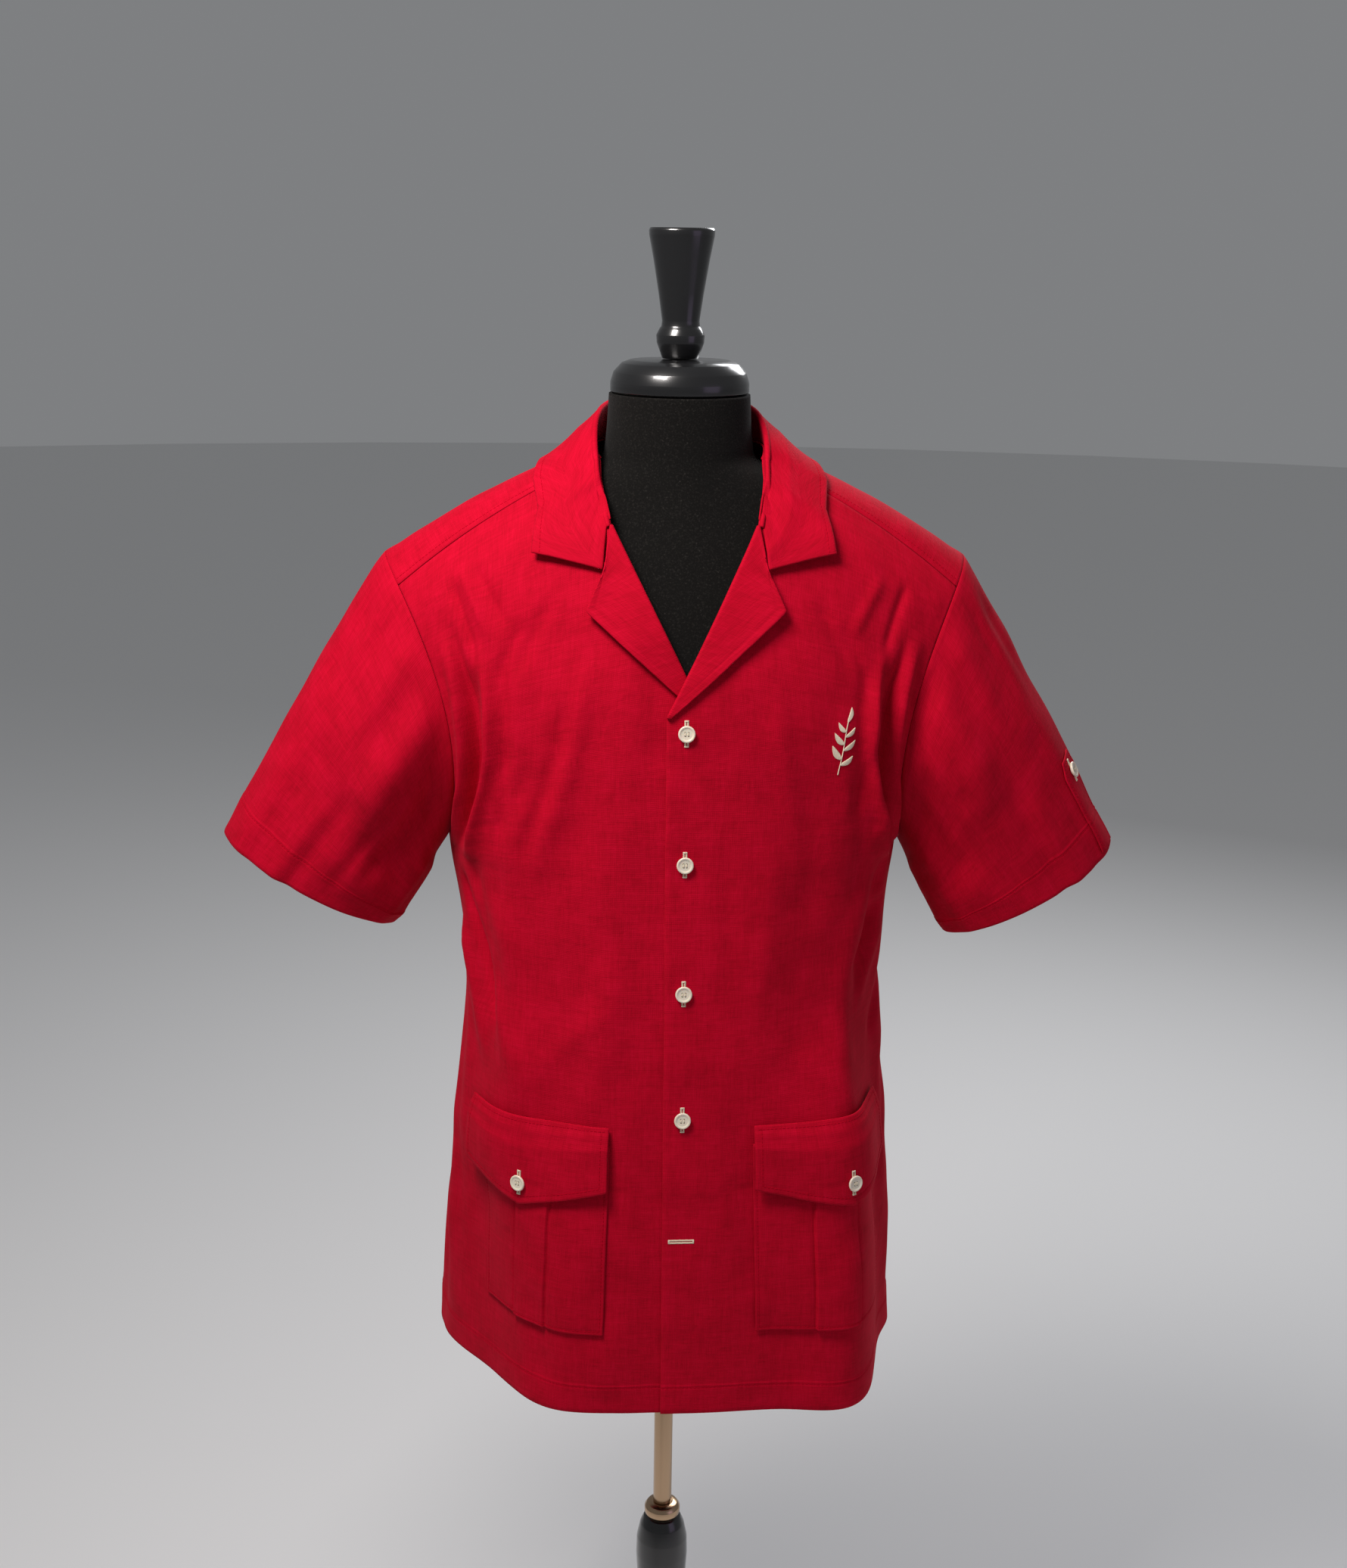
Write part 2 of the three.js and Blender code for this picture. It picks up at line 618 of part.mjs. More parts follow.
// Ground point and its outward direction under the collar
function collarGround (row, share) {
  if (row <= COLLAR_FRONT_ROWS) {
    const climb = row / (COLLAR_FRONT_ROWS + 1)
    const height = mix(BREAK_HEIGHT + GORGE_GAP, FRONT_TOP, climb)
    const neck = { share: frontStart(height), height }
    const tip = locate(COLLAR_TIP.x, COLLAR_TIP.z)
    const shoulder = locate(COLLAR_SHOULDER.x, COLLAR_SHOULDER.z)
    const notch = locate(NOTCH.x, NOTCH.z + GORGE_GAP)
    const edge = { share: mix(tip.share, shoulder.share, climb), height: mix(tip.height, shoulder.height, climb) }
    const bent = share < 0.5
      ? { share: mix(neck.share, notch.share, share * 2), height: mix(neck.height, notch.height, share * 2) }
      : { share: mix(notch.share, tip.share, share * 2 - 1), height: mix(notch.height, tip.height, share * 2 - 1) }
    const fade = Math.max(1 - row, 0)
    const at = mix(mix(neck.share, edge.share, share), bent.share, fade)
    const up = mix(mix(neck.height, edge.height, share), bent.height, fade)
    return { p: frontFace(at, up, LEFT), out: frontNormal(at, up, LEFT) }
  }
  const turn = (row - COLLAR_FRONT_ROWS - 1) / (COLLAR_ROWS - COLLAR_FRONT_ROWS - 1)
  const neckDepth = NECK.y + NECK.halfDepth * Math.sin(mix(NECK_FRONT_ANGLE, Math.PI / 2, turn))
  const depth = mix(neckDepth, between(COLLAR_EDGE, 'row', 'depth', row), share)
  const start = mix(yokeStart(neckDepth), between(COLLAR_EDGE, 'row', 'share', row), share)
  const at = Math.max(start, 0)
  return { p: yokeFace(at, depth), out: outward(yokeFace, Math.max(at, 0.011), depth, 0.01, 1, 1) }
}

const COLLAR_COLUMNS = { stand: 2, turn: 3, fall: 5 }

// One row of the collar: up the stand, over the fold and down the fall to the outer edge
function collarRow (row) {
  const seam = collarGround(row, 0)
  const base = seam.p.clone().addScaledVector(seam.out, 0.9)
  const top = COLLAR_FOLD.getPoint(COLLAR_FOLD_END * row / COLLAR_ROWS)
  if (row === 0) top.copy(base).addScaledVector(seam.out, 0.6)
  const rise = top.clone().sub(base)
  const up = rise.length() > 3 ? rise.clone().normalize() : seam.out.clone()
  const away = collarGround(row, 1).p.sub(top)
  away.addScaledVector(up, -away.dot(up)).normalize()
  const radius = mix(1.9, 2.4, smooth(0, 4, row))
  const points = steps(0, 1, COLLAR_COLUMNS.stand).slice(0, -1).map(share => base.clone().lerp(top, share))
  for (const angle of steps(0, Math.PI, COLLAR_COLUMNS.turn)) {
    points.push(top.clone()
      .addScaledVector(away, radius * (1 - Math.cos(angle)))
      .addScaledVector(up, radius * Math.sin(angle)))
  }
  const shoulder = points[points.length - 1]
  const drop = shoulder.clone().sub(seam.p)
  for (const share of steps(0, 1, COLLAR_COLUMNS.fall).slice(1)) {
    const ground = collarGround(row, share)
    const lift = LAYER_GAP + COLLAR_CLOTH + mix(1.4, 2.6, share)
    const settle = Math.min(share * 3, 1)
    points.push(ground.p.addScaledVector(drop, (1 - share) ** 1.5).addScaledVector(ground.out, lift * settle))
  }
  if (row === COLLAR_ROWS) points.forEach(p => p.setX(0))
  return points
}

function collarPanel () {
  const half = steps(0, COLLAR_ROWS, COLLAR_ROWS).map(collarRow)
  return [half, mirrorGrid(half)]
}

// Patch pocket with a box pleat, made from the points of its front
function pocketPanel (side) {
  const inner = locate(POCKET.inner, 800).share
  const outer = locate(POCKET.outer, 800).share
  const pleat = [0, 0.14, 0.28, 0.5 - POCKET.pleatHalf - 0.02, 0.5 - POCKET.pleatHalf, 0.5]
  const shares = [...pleat, ...pleat.slice(0, -1).reverse().map(share => 1 - share)]
  return [steps(POCKET.bottom, POCKET.top, 9).map(height => shares.map(share => {
    const raised = Math.abs(share - 0.5) <= POCKET.pleatHalf + 0.001 ? POCKET.pleatRise : 0
    return frontPoint(mix(inner, outer, share), height, POCKET.gap + CLOTH + raised, side)
  }))]
}

// Lower edge of the flap, a blunt point in the middle
const flapBottom = share => mix(FLAP.side, FLAP.point, 1 - Math.abs(share - 0.5) * 2)
const flapLift = down => FLAP.lift + FLAP.stand * Math.min(down * 3, 1)

function flapPanel (side) {
  const inner = locate(FLAP.inner, 860).share
  const outer = locate(FLAP.outer, 860).share
  return [steps(1, 0, 5).map(down => steps(0, 1, 10).map(share =>
    frontPoint(mix(inner, outer, share), mix(FLAP.top, flapBottom(share), down), flapLift(down), side)))]
}

function tabPanel (side) {
  return [steps(TAB.top, TAB.bottom, 5).map((share, row) => steps(-1, 1, 4).map(across => {
    const half = TAB.halfAngle * (row === 0 ? 0.72 : 1)
    return sleevePoint(side.tabAngle + half * across, share, LAYER_GAP + CLOTH, side)
  }))]
}

// A round button, its axis turned to the cloth's outward direction
function buttonGeometry () {
  const { radius, thick, rim } = BUTTON
  const profile = [
    [0, 0], [radius * 0.7, 0], [radius, thick * 0.4], [radius - 0.3, thick], [radius - rim, thick],
    [radius - rim - 0.8, thick * 0.75], [0, thick * 0.75]
  ]
  const turned = new THREE.LatheGeometry(profile.map(([r, z]) => new THREE.Vector2(r, z)), 14)
  return turned.rotateX(Math.PI / 2)
}

function addButton (name, at, direction, lift) {
  const button = add(shirt, name, buttonGeometry(), 'button')
  button.position.copy(at).addScaledVector(direction, lift)
  button.quaternion.setFromUnitVectors(point(0, 0, 1), direction)
}

function buildShirt () {
  add(shirt, 'back', wall(backPanel(), CLOTH), 'cloth')
  add(shirt, 'yoke', wall(yokePanel(), CLOTH), 'cloth')
  add(shirt, 'collar', wall(collarPanel(), COLLAR_CLOTH), 'cloth')
  const middle = (locate(FLAP.inner, 860).share + locate(FLAP.outer, 860).share) / 2
  for (const side of [LEFT, RIGHT]) {
    const place = side === LEFT ? grid => grid : mirrorGrid
    const moved = side === LEFT ? p => p : mirrored
    add(shirt, `front_${side.name}`, wall(frontPanel(side).map(place), CLOTH), 'cloth')
    add(shirt, `sleeve_${side.name}`, wall(sleevePanel(side).map(place), CLOTH), 'cloth')
    add(shirt, `pocket_${side.name}`, wall(pocketPanel(side).map(place), CLOTH), 'cloth')
    add(shirt, `flap_${side.name}`, wall(flapPanel(side).map(place), CLOTH), 'cloth')
    add(shirt, `sleeve_tab_${side.name}`, wall(tabPanel(side).map(place), CLOTH), 'cloth')
    const onFlap = frontPoint(middle, FLAP_BUTTON_HEIGHT, FLAP.lift + FLAP.stand, side)
    const flapOut = frontNormal(middle, FLAP_BUTTON_HEIGHT, side)
    addButton(`button_pocket_${side.name}`, moved(onFlap), moved(flapOut), BUTTON_GAP)
    const onTab = sleevePoint(side.tabAngle, TAB.button, LAYER_GAP + CLOTH, side)
    const tabOut = outward((a, b) => sleevePoint(a, b, 0, side), side.tabAngle, TAB.button, 0.05, 0.02, 1)
    addButton(`button_tab_${side.name}`, moved(onTab), moved(tabOut), BUTTON_GAP)
  }
  for (let i = 0; i < FRONT_BUTTONS; i += 1) {
    const height = FIRST_BUTTON - i * BUTTON_STEP
    const out = frontNormal(0.02, height, LEFT).setX(0)
    addButton(`button_front_${i + 1}`, frontPoint(0, height, 0, LEFT), out, BUTTON_GAP)
  }
}

// The jersey-covered form, lofted through its sections and closed at both ends
function formGeometry () {
  const around = 32
  const rings = FORM_SECTIONS.map(section => steps(0, 2 * Math.PI, around).map(angle => {
    const sine = Math.sin(angle)
    const cosine = Math.cos(angle)
    const deep = cosine > 0 ? section.front : section.back
    const size = (Math.abs(sine) ** section.power + Math.abs(cosine) ** section.power) ** (-1 / section.power)
    return point(section.half * size * sine, -deep * size * cosine, section.z)
  }))
  const bottom = rings[0].map(() => point(0, 0, FORM_SECTIONS[0].z))
  const top = rings[0].map(() => point(0, 0, FORM_SECTIONS[FORM_SECTIONS.length - 1].z))
  return closed([bottom, ...rings, top])
}

// A closed body from rings whose first and last shrink to a point
function closed (rings) {
  const last = rings.length - 1
  const around = rings[0].length - 1
  const positions = [rings[0][0], ...rings.slice(1, last).flatMap(ring => ring.slice(0, around)), rings[last][0]]
  const number = (ring, i) => ring === 0 ? 0 : ring === last ? positions.length - 1 : 1 + (ring - 1) * around + i % around
  const faces = []
  for (let ring = 0; ring < last; ring += 1) {
    for (let i = 0; i < around; i += 1) {
      const [a, b, c, d] = [number(ring, i), number(ring, i + 1), number(ring + 1, i + 1), number(ring + 1, i)]
      if (a !== b) faces.push(a, b, c)
      if (c !== d) faces.push(a, c, d)
    }
  }
  const geometry = new THREE.BufferGeometry()
  geometry.setAttribute('position', new THREE.Float32BufferAttribute(positions.flatMap(p => p.toArray()), 3))
  geometry.setIndex(faces)
  geometry.computeVertexNormals()
  return geometry
}

function turnedGeometry (profile, sides) {
  const outline = profile.map(([radius, height]) => new THREE.Vector2(radius, height))
  return new THREE.LatheGeometry(outline, sides).rotateX(Math.PI / 2)
}

function buildStand () {
  add(stand, 'form_body', formGeometry(), 'jersey')
  add(stand, 'neck_cap', turnedGeometry(CAP_PROFILE, 24), 'gloss')
  add(stand, 'finial', turnedGeometry(FINIAL_PROFILE, 16), 'gloss')
  const pole = [[0, POLE.bottom], [POLE.radius, POLE.bottom], [POLE.radius, POLE.top], [0, POLE.top]]
  add(stand, 'pole', turnedGeometry(pole, 20), 'metal')
  add(stand, 'pole_ring', turnedGeometry(RING_PROFILE, 16), 'metal')
  add(stand, 'pole_hub', turnedGeometry(HUB_PROFILE, 18), 'gloss')
  add(stand, 'base', turnedGeometry(BASE_PROFILE, 36), 'gloss')
}

buildShirt()
buildStand()

const model = new THREE.Group()
model.add(shirt, stand)

export default model
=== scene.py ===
# Looks of a short-sleeved camp-collar shirt on its dress form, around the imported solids.
# Blender objects are in metres. Shape tables are in millimetres, like the solids they repeat.
# Left and right are the wearer's, so the left side lies at +X and the shirt faces -Y.

import math

import bpy
import numpy as np
from mathutils import Matrix, Vector


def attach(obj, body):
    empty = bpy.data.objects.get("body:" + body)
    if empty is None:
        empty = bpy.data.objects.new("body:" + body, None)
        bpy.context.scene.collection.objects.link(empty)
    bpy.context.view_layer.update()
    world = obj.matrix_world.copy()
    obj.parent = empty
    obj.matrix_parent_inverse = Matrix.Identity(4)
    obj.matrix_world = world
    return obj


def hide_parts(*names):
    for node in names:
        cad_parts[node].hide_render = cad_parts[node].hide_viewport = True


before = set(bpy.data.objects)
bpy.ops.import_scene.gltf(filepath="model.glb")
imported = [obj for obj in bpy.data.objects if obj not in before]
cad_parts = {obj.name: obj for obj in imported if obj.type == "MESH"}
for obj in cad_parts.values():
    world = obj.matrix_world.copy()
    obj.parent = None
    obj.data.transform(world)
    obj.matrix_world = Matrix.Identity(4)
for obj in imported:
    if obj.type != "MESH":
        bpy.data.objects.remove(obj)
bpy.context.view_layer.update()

MM = 0.001

# The camera stands in front, a little to the wearer's right and above the shoulders, and looks down
CAMERA_SIDE = math.radians(4.2)
CAMERA_DISTANCE = 1.65
CAMERA_HEIGHT = 1.60
CAMERA_PITCH = math.radians(-15.4)
CAMERA_ROLL = math.radians(0.9)
CAMERA_LENS = 46.29
CAMERA_PLACE = Vector((-CAMERA_DISTANCE * math.sin(CAMERA_SIDE), -CAMERA_DISTANCE * math.cos(CAMERA_SIDE),
                       CAMERA_HEIGHT))
camera = bpy.data.objects.new("camera", bpy.data.cameras.new("camera"))
camera.data.lens = CAMERA_LENS
camera.matrix_world = (Matrix.Translation(CAMERA_PLACE) @ Matrix.Rotation(-CAMERA_SIDE, 4, "Z")
                       @ Matrix.Rotation(math.pi / 2 + CAMERA_PITCH, 4, "X")
                       @ Matrix.Rotation(CAMERA_ROLL, 4, "Z"))
bpy.context.scene.collection.objects.link(camera)
bpy.context.scene.camera = camera


def table(names, *rows):
    return {name: np.array(column, float) for name, column in zip(names.split(), zip(*rows))}


def folds(*rows):
    return table("g0 z0 g1 z1 width depth", *rows)


# Cloth walls and the gaps between pieces
CLOTH = 1.2
COLLAR_CLOTH = 1.5
SEAM_GAP = 0.6
ROLL_RADIUS = 0.9
LAYER_GAP = 0.8
BUTTON_GAP = 0.3

# Heights of the shirt at its centre line, and the outlines of lapel and collar from the front
HEM = 650
ARMPIT = 1105
ARMPIT_BLEND = 45
CENTRE_BLEND = 0.12
ROLL_START = 1232
FRONT_TOP = 1443
BACK_TOP = 1345
OVERLAP = 15
NECK_BREAK = (58, 1376)
NECK_SEAM = (65, 1409)
LAPEL_TIP = (76, 1312)
NOTCH = (63, 1344)
COLLAR_TIP = (117, 1352)
COLLAR_SHOULDER = (112, 1385)
LAPEL_TIP_SHARE = 0.62
GORGE_GAP = 0.25

# The armhole seam and the neck opening
ARMHOLE = dict(x=214, y=5, z=1224, rise=119, lean=24, front=80, back=85, pinch_front=26, pinch_back=14)
FRONT_SEAM_ANGLE = 0.6
BACK_SEAM_ANGLE = 0.98
NECK = dict(half_width=68, half_depth=72, y=-8)
YOKE_FRONT = -30
YOKE_BACK = 98
NECK_FRONT_ANGLE = math.asin((YOKE_FRONT - NECK["y"]) / NECK["half_depth"])

SECTIONS = table(
    "height half front back",
    (650, 203, 172, 152), (740, 198, 168, 148), (835, 188, 161, 142), (980, 175, 149, 134),
    (1040, 179, 143, 132), (1105, 190, 138, 133), (1165, 190, 135, 133), (1225, 190, 131, 130),
    (1280, 190, 122, 121), (1345, 190, 102, 98), (1395, 190, 79, 80), (1443, 190, 30, 60))
ROUNDNESS = table(
    "height front back",
    (650, 1, 1), (1105, 1, 1), (1225, 0.62, 0.62), (1345, 0.42, 0.4), (1443, 0.3, 0.4))
SECTION_POWER = 2.25
NEAR_CENTRE = 0.011
NEAR_SEAM = 0.985
YOKE_ROWS = table(
    "depth top angle round",
    (YOKE_FRONT, FRONT_TOP, FRONT_SEAM_ANGLE, 0.3), (3, 1450, 0, 0.25), (34, 1446, -0.32, 0.25),
    (64, 1430, -0.6, 0.3), (84, 1391, -0.8, 0.35), (YOKE_BACK, BACK_TOP, -BACK_SEAM_ANGLE, 0.4))
SLEEVE_HEM = dict(x=306, y=-6, z=1071, out=70, up=40, depth=60)
SLEEVE_LENGTH = 260
SLEEVE_RADIUS = 70
SLEEVE_PUFF = 7
SLEEVE_GAP = 1
SLEEVE_CAP = 3
SLEEVE_DROP = {1: 13, -1: 0}
TAB_ANGLE = {1: 0.42, -1: -0.5}
TUCK = table("height depth", (650, 2.2), (1160, 2.2), (1215, 5.4), (1262, 5.4), (1300, 0), (1443, 0))

# Large folds that the solids have too, and finer creases of each side
# g is the distance from the centre line, along the cloth: positive depth stands out
FRONT_FOLDS = folds(
    (226, 1310, 218, 1120, 13, -7), (204, 1290, 196, 1090, 14, 5), (196, 1110, 172, 985, 11, -6),
    (160, 1080, 132, 905, 16, 5), (225, 1060, 232, 720, 19, 6), (104, 1200, 98, 930, 20, -3),
    (262, 1000, 268, 655, 16, -5), (120, 1345, 166, 1290, 9, -2.5))
SWING_LEFT = folds(
    (126, 960, 130, 540, 38, 23), (214, 860, 214, 540, 30, -7))
HEM_SAG = {1: 9, -1: 0}
SAG_AT = 132
SAG_WIDTH = 60
SAG_TOP = 800
SWING_RIGHT = folds(
    (150, 980, 146, 740, 36, 6), (88, 880, 92, 540, 34, 8), (176, 850, 182, 540, 54, -15))
BACK_FOLDS = folds(
    (172, 1290, 176, 1110, 14, -6), (150, 1280, 150, 1060, 15, 4), (60, 1120, 74, 760, 24, 5),
    (120, 1060, 134, 655, 22, -5), (205, 1080, 214, 660, 20, 6), (22, 960, 18, 655, 18, -4))
SLEEVE_FOLDS = table(
    "angle start end width depth",
    (2.15, 0.02, 0.8, 0.26, -9), (1.55, 0.05, 0.7, 0.24, 5), (-2.1, 0.02, 0.75, 0.3, -8),
    (-1.4, 0.1, 0.9, 0.28, 4), (0.7, 0.3, 1.1, 0.3, 3), (2.9, 0.2, 1.1, 0.25, 4))
FINE_LEFT = folds(
    (254, 1350, 256, 1130, 12, 5), (186, 1290, 178, 1170, 10, -1.6), (160, 1260, 150, 1150, 12, 1.2),
    (150, 1330, 196, 1280, 8, -2.2), (252, 1150, 222, 1085, 8, -3.6), (208, 1065, 158, 1010, 8, -4),
    (236, 1340, 224, 1130, 8, -5), (204, 1320, 190, 1130, 8, 3.4), (222, 1400, 206, 1320, 6, -2.6),
    (190, 1390, 160, 1320, 7, 2), (214, 1240, 150, 1150, 8, -2.6), (226, 1190, 170, 1120, 8, 2.4),
    (214, 1040, 168, 975, 9, 2.6), (240, 1010, 196, 940, 8, -3.4), (86, 1270, 92, 1090, 12, 2),
    (168, 1200, 150, 1060, 10, -2), (40, 930, 60, 760, 14, -1.6), (70, 1140, 62, 980, 12, 1.6),
    (232, 930, 216, 800, 9, -3), (250, 880, 238, 690, 8, 2.4), (30, 1150, 36, 1010, 9, -1),
    (100, 960, 140, 900, 10, 1.8), (60, 740, 96, 668, 12, -2), (120, 790, 126, 668, 14, 2))
FINE_RIGHT = folds(
    (254, 1350, 256, 1130, 12, 6), (184, 1310, 180, 1190, 9, -2.4), (164, 1300, 158, 1180, 11, 1.8),
    (216, 1085, 170, 968, 6, -11), (198, 1095, 152, 945, 9, 6), (230, 1045, 186, 935, 9, 5),
    (238, 1350, 228, 1120, 8, -6), (208, 1330, 196, 1110, 8, 4.5), (226, 1405, 212, 1310, 6, -3.4),
    (212, 1410, 192, 1325, 6, 2.6), (196, 1405, 172, 1335, 6, -2.4), (178, 1230, 158, 1130, 7, -2.2),
    (92, 1285, 116, 1110, 11, 3.6), (112, 1260, 132, 1110, 9, -2.6), (140, 1180, 146, 1010, 11, 2.2),
    (84, 1190, 80, 980, 12, -1.6), (60, 1040, 74, 880, 14, 1.8), (250, 980, 240, 700, 9, 3),
    (232, 1000, 224, 740, 9, -3), (36, 1130, 44, 900, 12, -1.2), (150, 1335, 188, 1290, 8, -2),
    (60, 1000, 120, 940, 9, 1.4), (46, 740, 60, 662, 12, 1.8), (110, 760, 104, 668, 12, -2.2))
FINE_BACK = folds(
    (30, 1230, 66, 1130, 12, 2), (110, 1250, 150, 1160, 10, -2.4), (190, 1120, 140, 1010, 9, -3),
    (230, 1040, 180, 930, 10, 3), (40, 1040, 90, 900, 16, -2), (150, 900, 160, 680, 12, 2.2),
    (250, 900, 240, 690, 10, -3), (90, 860, 84, 665, 12, 2), (20, 1190, 16, 1010, 10, -1.4))
FINE_SLEEVE = table(
    "angle start end width depth",
    (0.35, 0.05, 0.5, 0.1, -2.8), (0.95, 0.0, 0.5, 0.12, 4), (1.35, 0.02, 0.6, 0.18, 7),
    (0.62, 0.02, 0.4, 0.07, -2.4), (1.62, 0.3, 1.0, 0.08, -2.6), (1.1, 0.6, 1.2, 0.1, 2.2),
    (1.85, 0.1, 0.9, 0.12, -3.4), (2.45, 0.3, 1.1, 0.12, 3), (-0.4, 0.05, 0.55, 0.12, 2),
    (-1.0, 0.0, 0.6, 0.16, -3), (-1.8, 0.2, 1.1, 0.14, 3), (-2.6, 0.3, 1.1, 0.14, -3),
    (1.25, 0.5, 1.2, 0.1, -2.2), (0.75, 0.45, 1.2, 0.12, -2), (0.1, 0.4, 1.2, 0.16, 1.6))

# Stitched bands and patches
HEM_BAND = 25
SLEEVE_BAND = 0.87
FIRST_BUTTON = 1222
BUTTON_STEP = 105
FRONT_BUTTONS = 4
CENTRE_SHARE = 0.02
POCKET = dict(inner=61, outer=164, middle=800, top=884, bottom=722, gap=1.3, width=128, loose_from=760,
              pleat_half=0.12, pleat_rise=1.7)
FLAP = dict(inner=60, outer=168, middle=860, top=900, side=848, point=827, lift=3.4, stand=5, width=132)
FLAP_BUTTON_HEIGHT = 846
EMPTY_HOLE = 803
TAB = dict(half_angle=0.2, top=0.66, bottom=0.985, button=0.71, half_width=15)
QUARTER_GIRTH = 285
FRONT_REACH = 230


def mix(a, b, share):
    return a + (b - a) * share


def smooth(start, end, value):
    share = np.clip((value - start) / (end - start), 0, 1)
    return share * share * (3 - 2 * share)


def points(x, y, z):
    x, y, z = np.broadcast_arrays(x, y, z)
    return np.stack([x, y, z], -1).astype(float)


def unit(vectors):
    return vectors / np.maximum(np.linalg.norm(vectors, axis=-1, keepdims=True), 1e-12)


def broadcast(a, b):
    return np.broadcast_arrays(np.asarray(a, float), np.asarray(b, float))


def hermite(start, end, slope_start, slope_end, t):
    rest = 1 - t
    return (start * rest ** 2 * (1 + 2 * t) + end * t * t * (3 - 2 * t)
            + slope_start * t * rest ** 2 - slope_end * t * t * rest)


def between(rows, key, column, at):
    """A smooth value between the rows of a table."""
    keys = rows[key]
    values = rows[column]
    before = np.maximum(np.arange(len(keys)) - 1, 0)
    after = np.minimum(np.arange(len(keys)) + 1, len(keys) - 1)
    slopes = (values[after] - values[before]) / (keys[after] - keys[before])
    low = np.clip(np.searchsorted(keys, at, side="left") - 1, 0, len(keys) - 2)
    span = keys[low + 1] - keys[low]
    t = np.clip((at - keys[low]) / span, 0, 1)
    return hermite(values[low], values[low + 1], slopes[low] * span, slopes[low + 1] * span, t)


def armhole(angle):
    side = np.sin(angle)
    reach = np.where(side > 0, ARMHOLE["front"], ARMHOLE["back"])
    pinch = np.where(side > 0, ARMHOLE["pinch_front"], ARMHOLE["pinch_back"])
    return points(ARMHOLE["x"] + ARMHOLE["lean"] * np.cos(angle) - pinch * side * side,
                  ARMHOLE["y"] - reach * side, ARMHOLE["z"] + ARMHOLE["rise"] * np.cos(angle))


def row_point(centre, edge, share, round_share):
    angle = share * np.pi / 2
    sine = np.sin(angle)
    cosine = np.maximum(np.cos(angle), 0)
    reach = (sine ** SECTION_POWER + cosine ** SECTION_POWER) ** (-1 / SECTION_POWER)
    soft = (np.hypot(share, CENTRE_BLEND) - CENTRE_BLEND) / (math.hypot(1, CENTRE_BLEND) - CENTRE_BLEND)
    across = mix(share, reach * sine, round_share)
    deep = mix(soft, 1 - reach * cosine, round_share)
    fall = mix(deep, across * soft / np.maximum(share, 1e-6), 0.35)
    return points(mix(centre[..., 0], edge[..., 0], across), mix(centre[..., 1], edge[..., 1], deep),
                  mix(centre[..., 2], edge[..., 2], fall))


def row_edge(height, top, seam_angle, power, facing):
    climb = np.clip((height - ARMPIT) / (top - ARMPIT), 0, 1) ** power
    above = armhole(facing * (np.pi - (np.pi - seam_angle) * climb))
    below = points(between(SECTIONS, "height", "half", height), ARMHOLE["y"], height)
    return np.where((height <= ARMPIT)[..., None], below, above)


def half_base(centre, share, height, rounded, *edge_rule):
    """A half row: its middle follows an edge that turns softly at the armpit, its end the true edge."""
    edge = row_edge(height, *edge_rule)
    reach = ARMPIT_BLEND * (1 - smooth(60, 130, np.abs(height - ARMPIT - 15)))
    soft = np.mean([row_edge(height + reach * step, *edge_rule) for step in (-1, -0.5, 0, 0.5, 1)], axis=0)
    place = row_point(centre, soft, np.abs(share), rounded)
    return place + (edge - soft) * (smooth(0.5, 1, np.abs(share)) ** 1.5)[..., None]


def front_base(share, height):
    share, height = broadcast(share, height)
    centre = points(0, -between(SECTIONS, "height", "front", height), height)
    rounded = between(ROUNDNESS, "height", "front", height)
    place = half_base(centre, share, height, rounded, FRONT_TOP, FRONT_SEAM_ANGLE, 0.7, 1)
    place[..., 0] *= np.where(share < 0, -1, 1)
    return place


def back_base(share, height):
    share, height = broadcast(share, height)
    centre = points(0, between(SECTIONS, "height", "back", height), height)
    rounded = between(ROUNDNESS, "height", "back", height)
    return half_base(centre, share, height, rounded, BACK_TOP, BACK_SEAM_ANGLE, 0.75, -1)


def yoke_base(share, depth):
    share, depth = broadcast(share, depth)
    centre = points(0, depth, between(YOKE_ROWS, "depth", "top", depth))
    edge = armhole(between(YOKE_ROWS, "depth", "angle", depth))
    return row_point(centre, edge, share, between(YOKE_ROWS, "depth", "round", depth))


def outward(surface, a, b, step_a, step_b, facing):
    across = surface(a + step_a, b) - surface(a - step_a, b)
    along = surface(a, b + step_b) - surface(a, b - step_b)
    return unit(np.cross(across, along)) * facing


def fold_shift(rows, g, z):
    shift = 0
    for g0, z0, g1, z1, width, depth in zip(*rows.values()):
        dg = g1 - g0
        dz = z1 - z0
        share = ((g - g0) * dg + (z - z0) * dz) / (dg * dg + dz * dz)
        away = np.abs((g - g0) * dz - (z - z0) * dg) / math.hypot(dg, dz)
        fade = smooth(-0.08, 0.22, share) * (1 - smooth(0.72, 1.12, share))
        shift = shift + depth * fade * np.exp(-(away / width) ** 2)
    return shift


# Waves of the soft unevenness of washed linen: direction and length in mm, depth, phase
RUMPLE = table(
    "along up depth phase",
    (0.061, 0.023, 0.32, 0.4), (0.034, -0.047, 0.4, 2.1), (-0.083, 0.061, 0.2, 1.2),
    (0.019, 0.071, 0.26, 5.0), (0.117, -0.031, 0.13, 3.3), (-0.051, -0.109, 0.13, 0.9),
    (0.149, 0.083, 0.07, 4.2))


def rumple(g, z, seed):
    shift = 0
    for along, up, depth, phase in zip(*RUMPLE.values()):
        crossing = np.sin(g * up * 0.7 - z * along * 0.6 + seed * 1.7)
        shift = shift + depth * np.sin(g * along + z * up + phase + seed) * crossing
    return shift


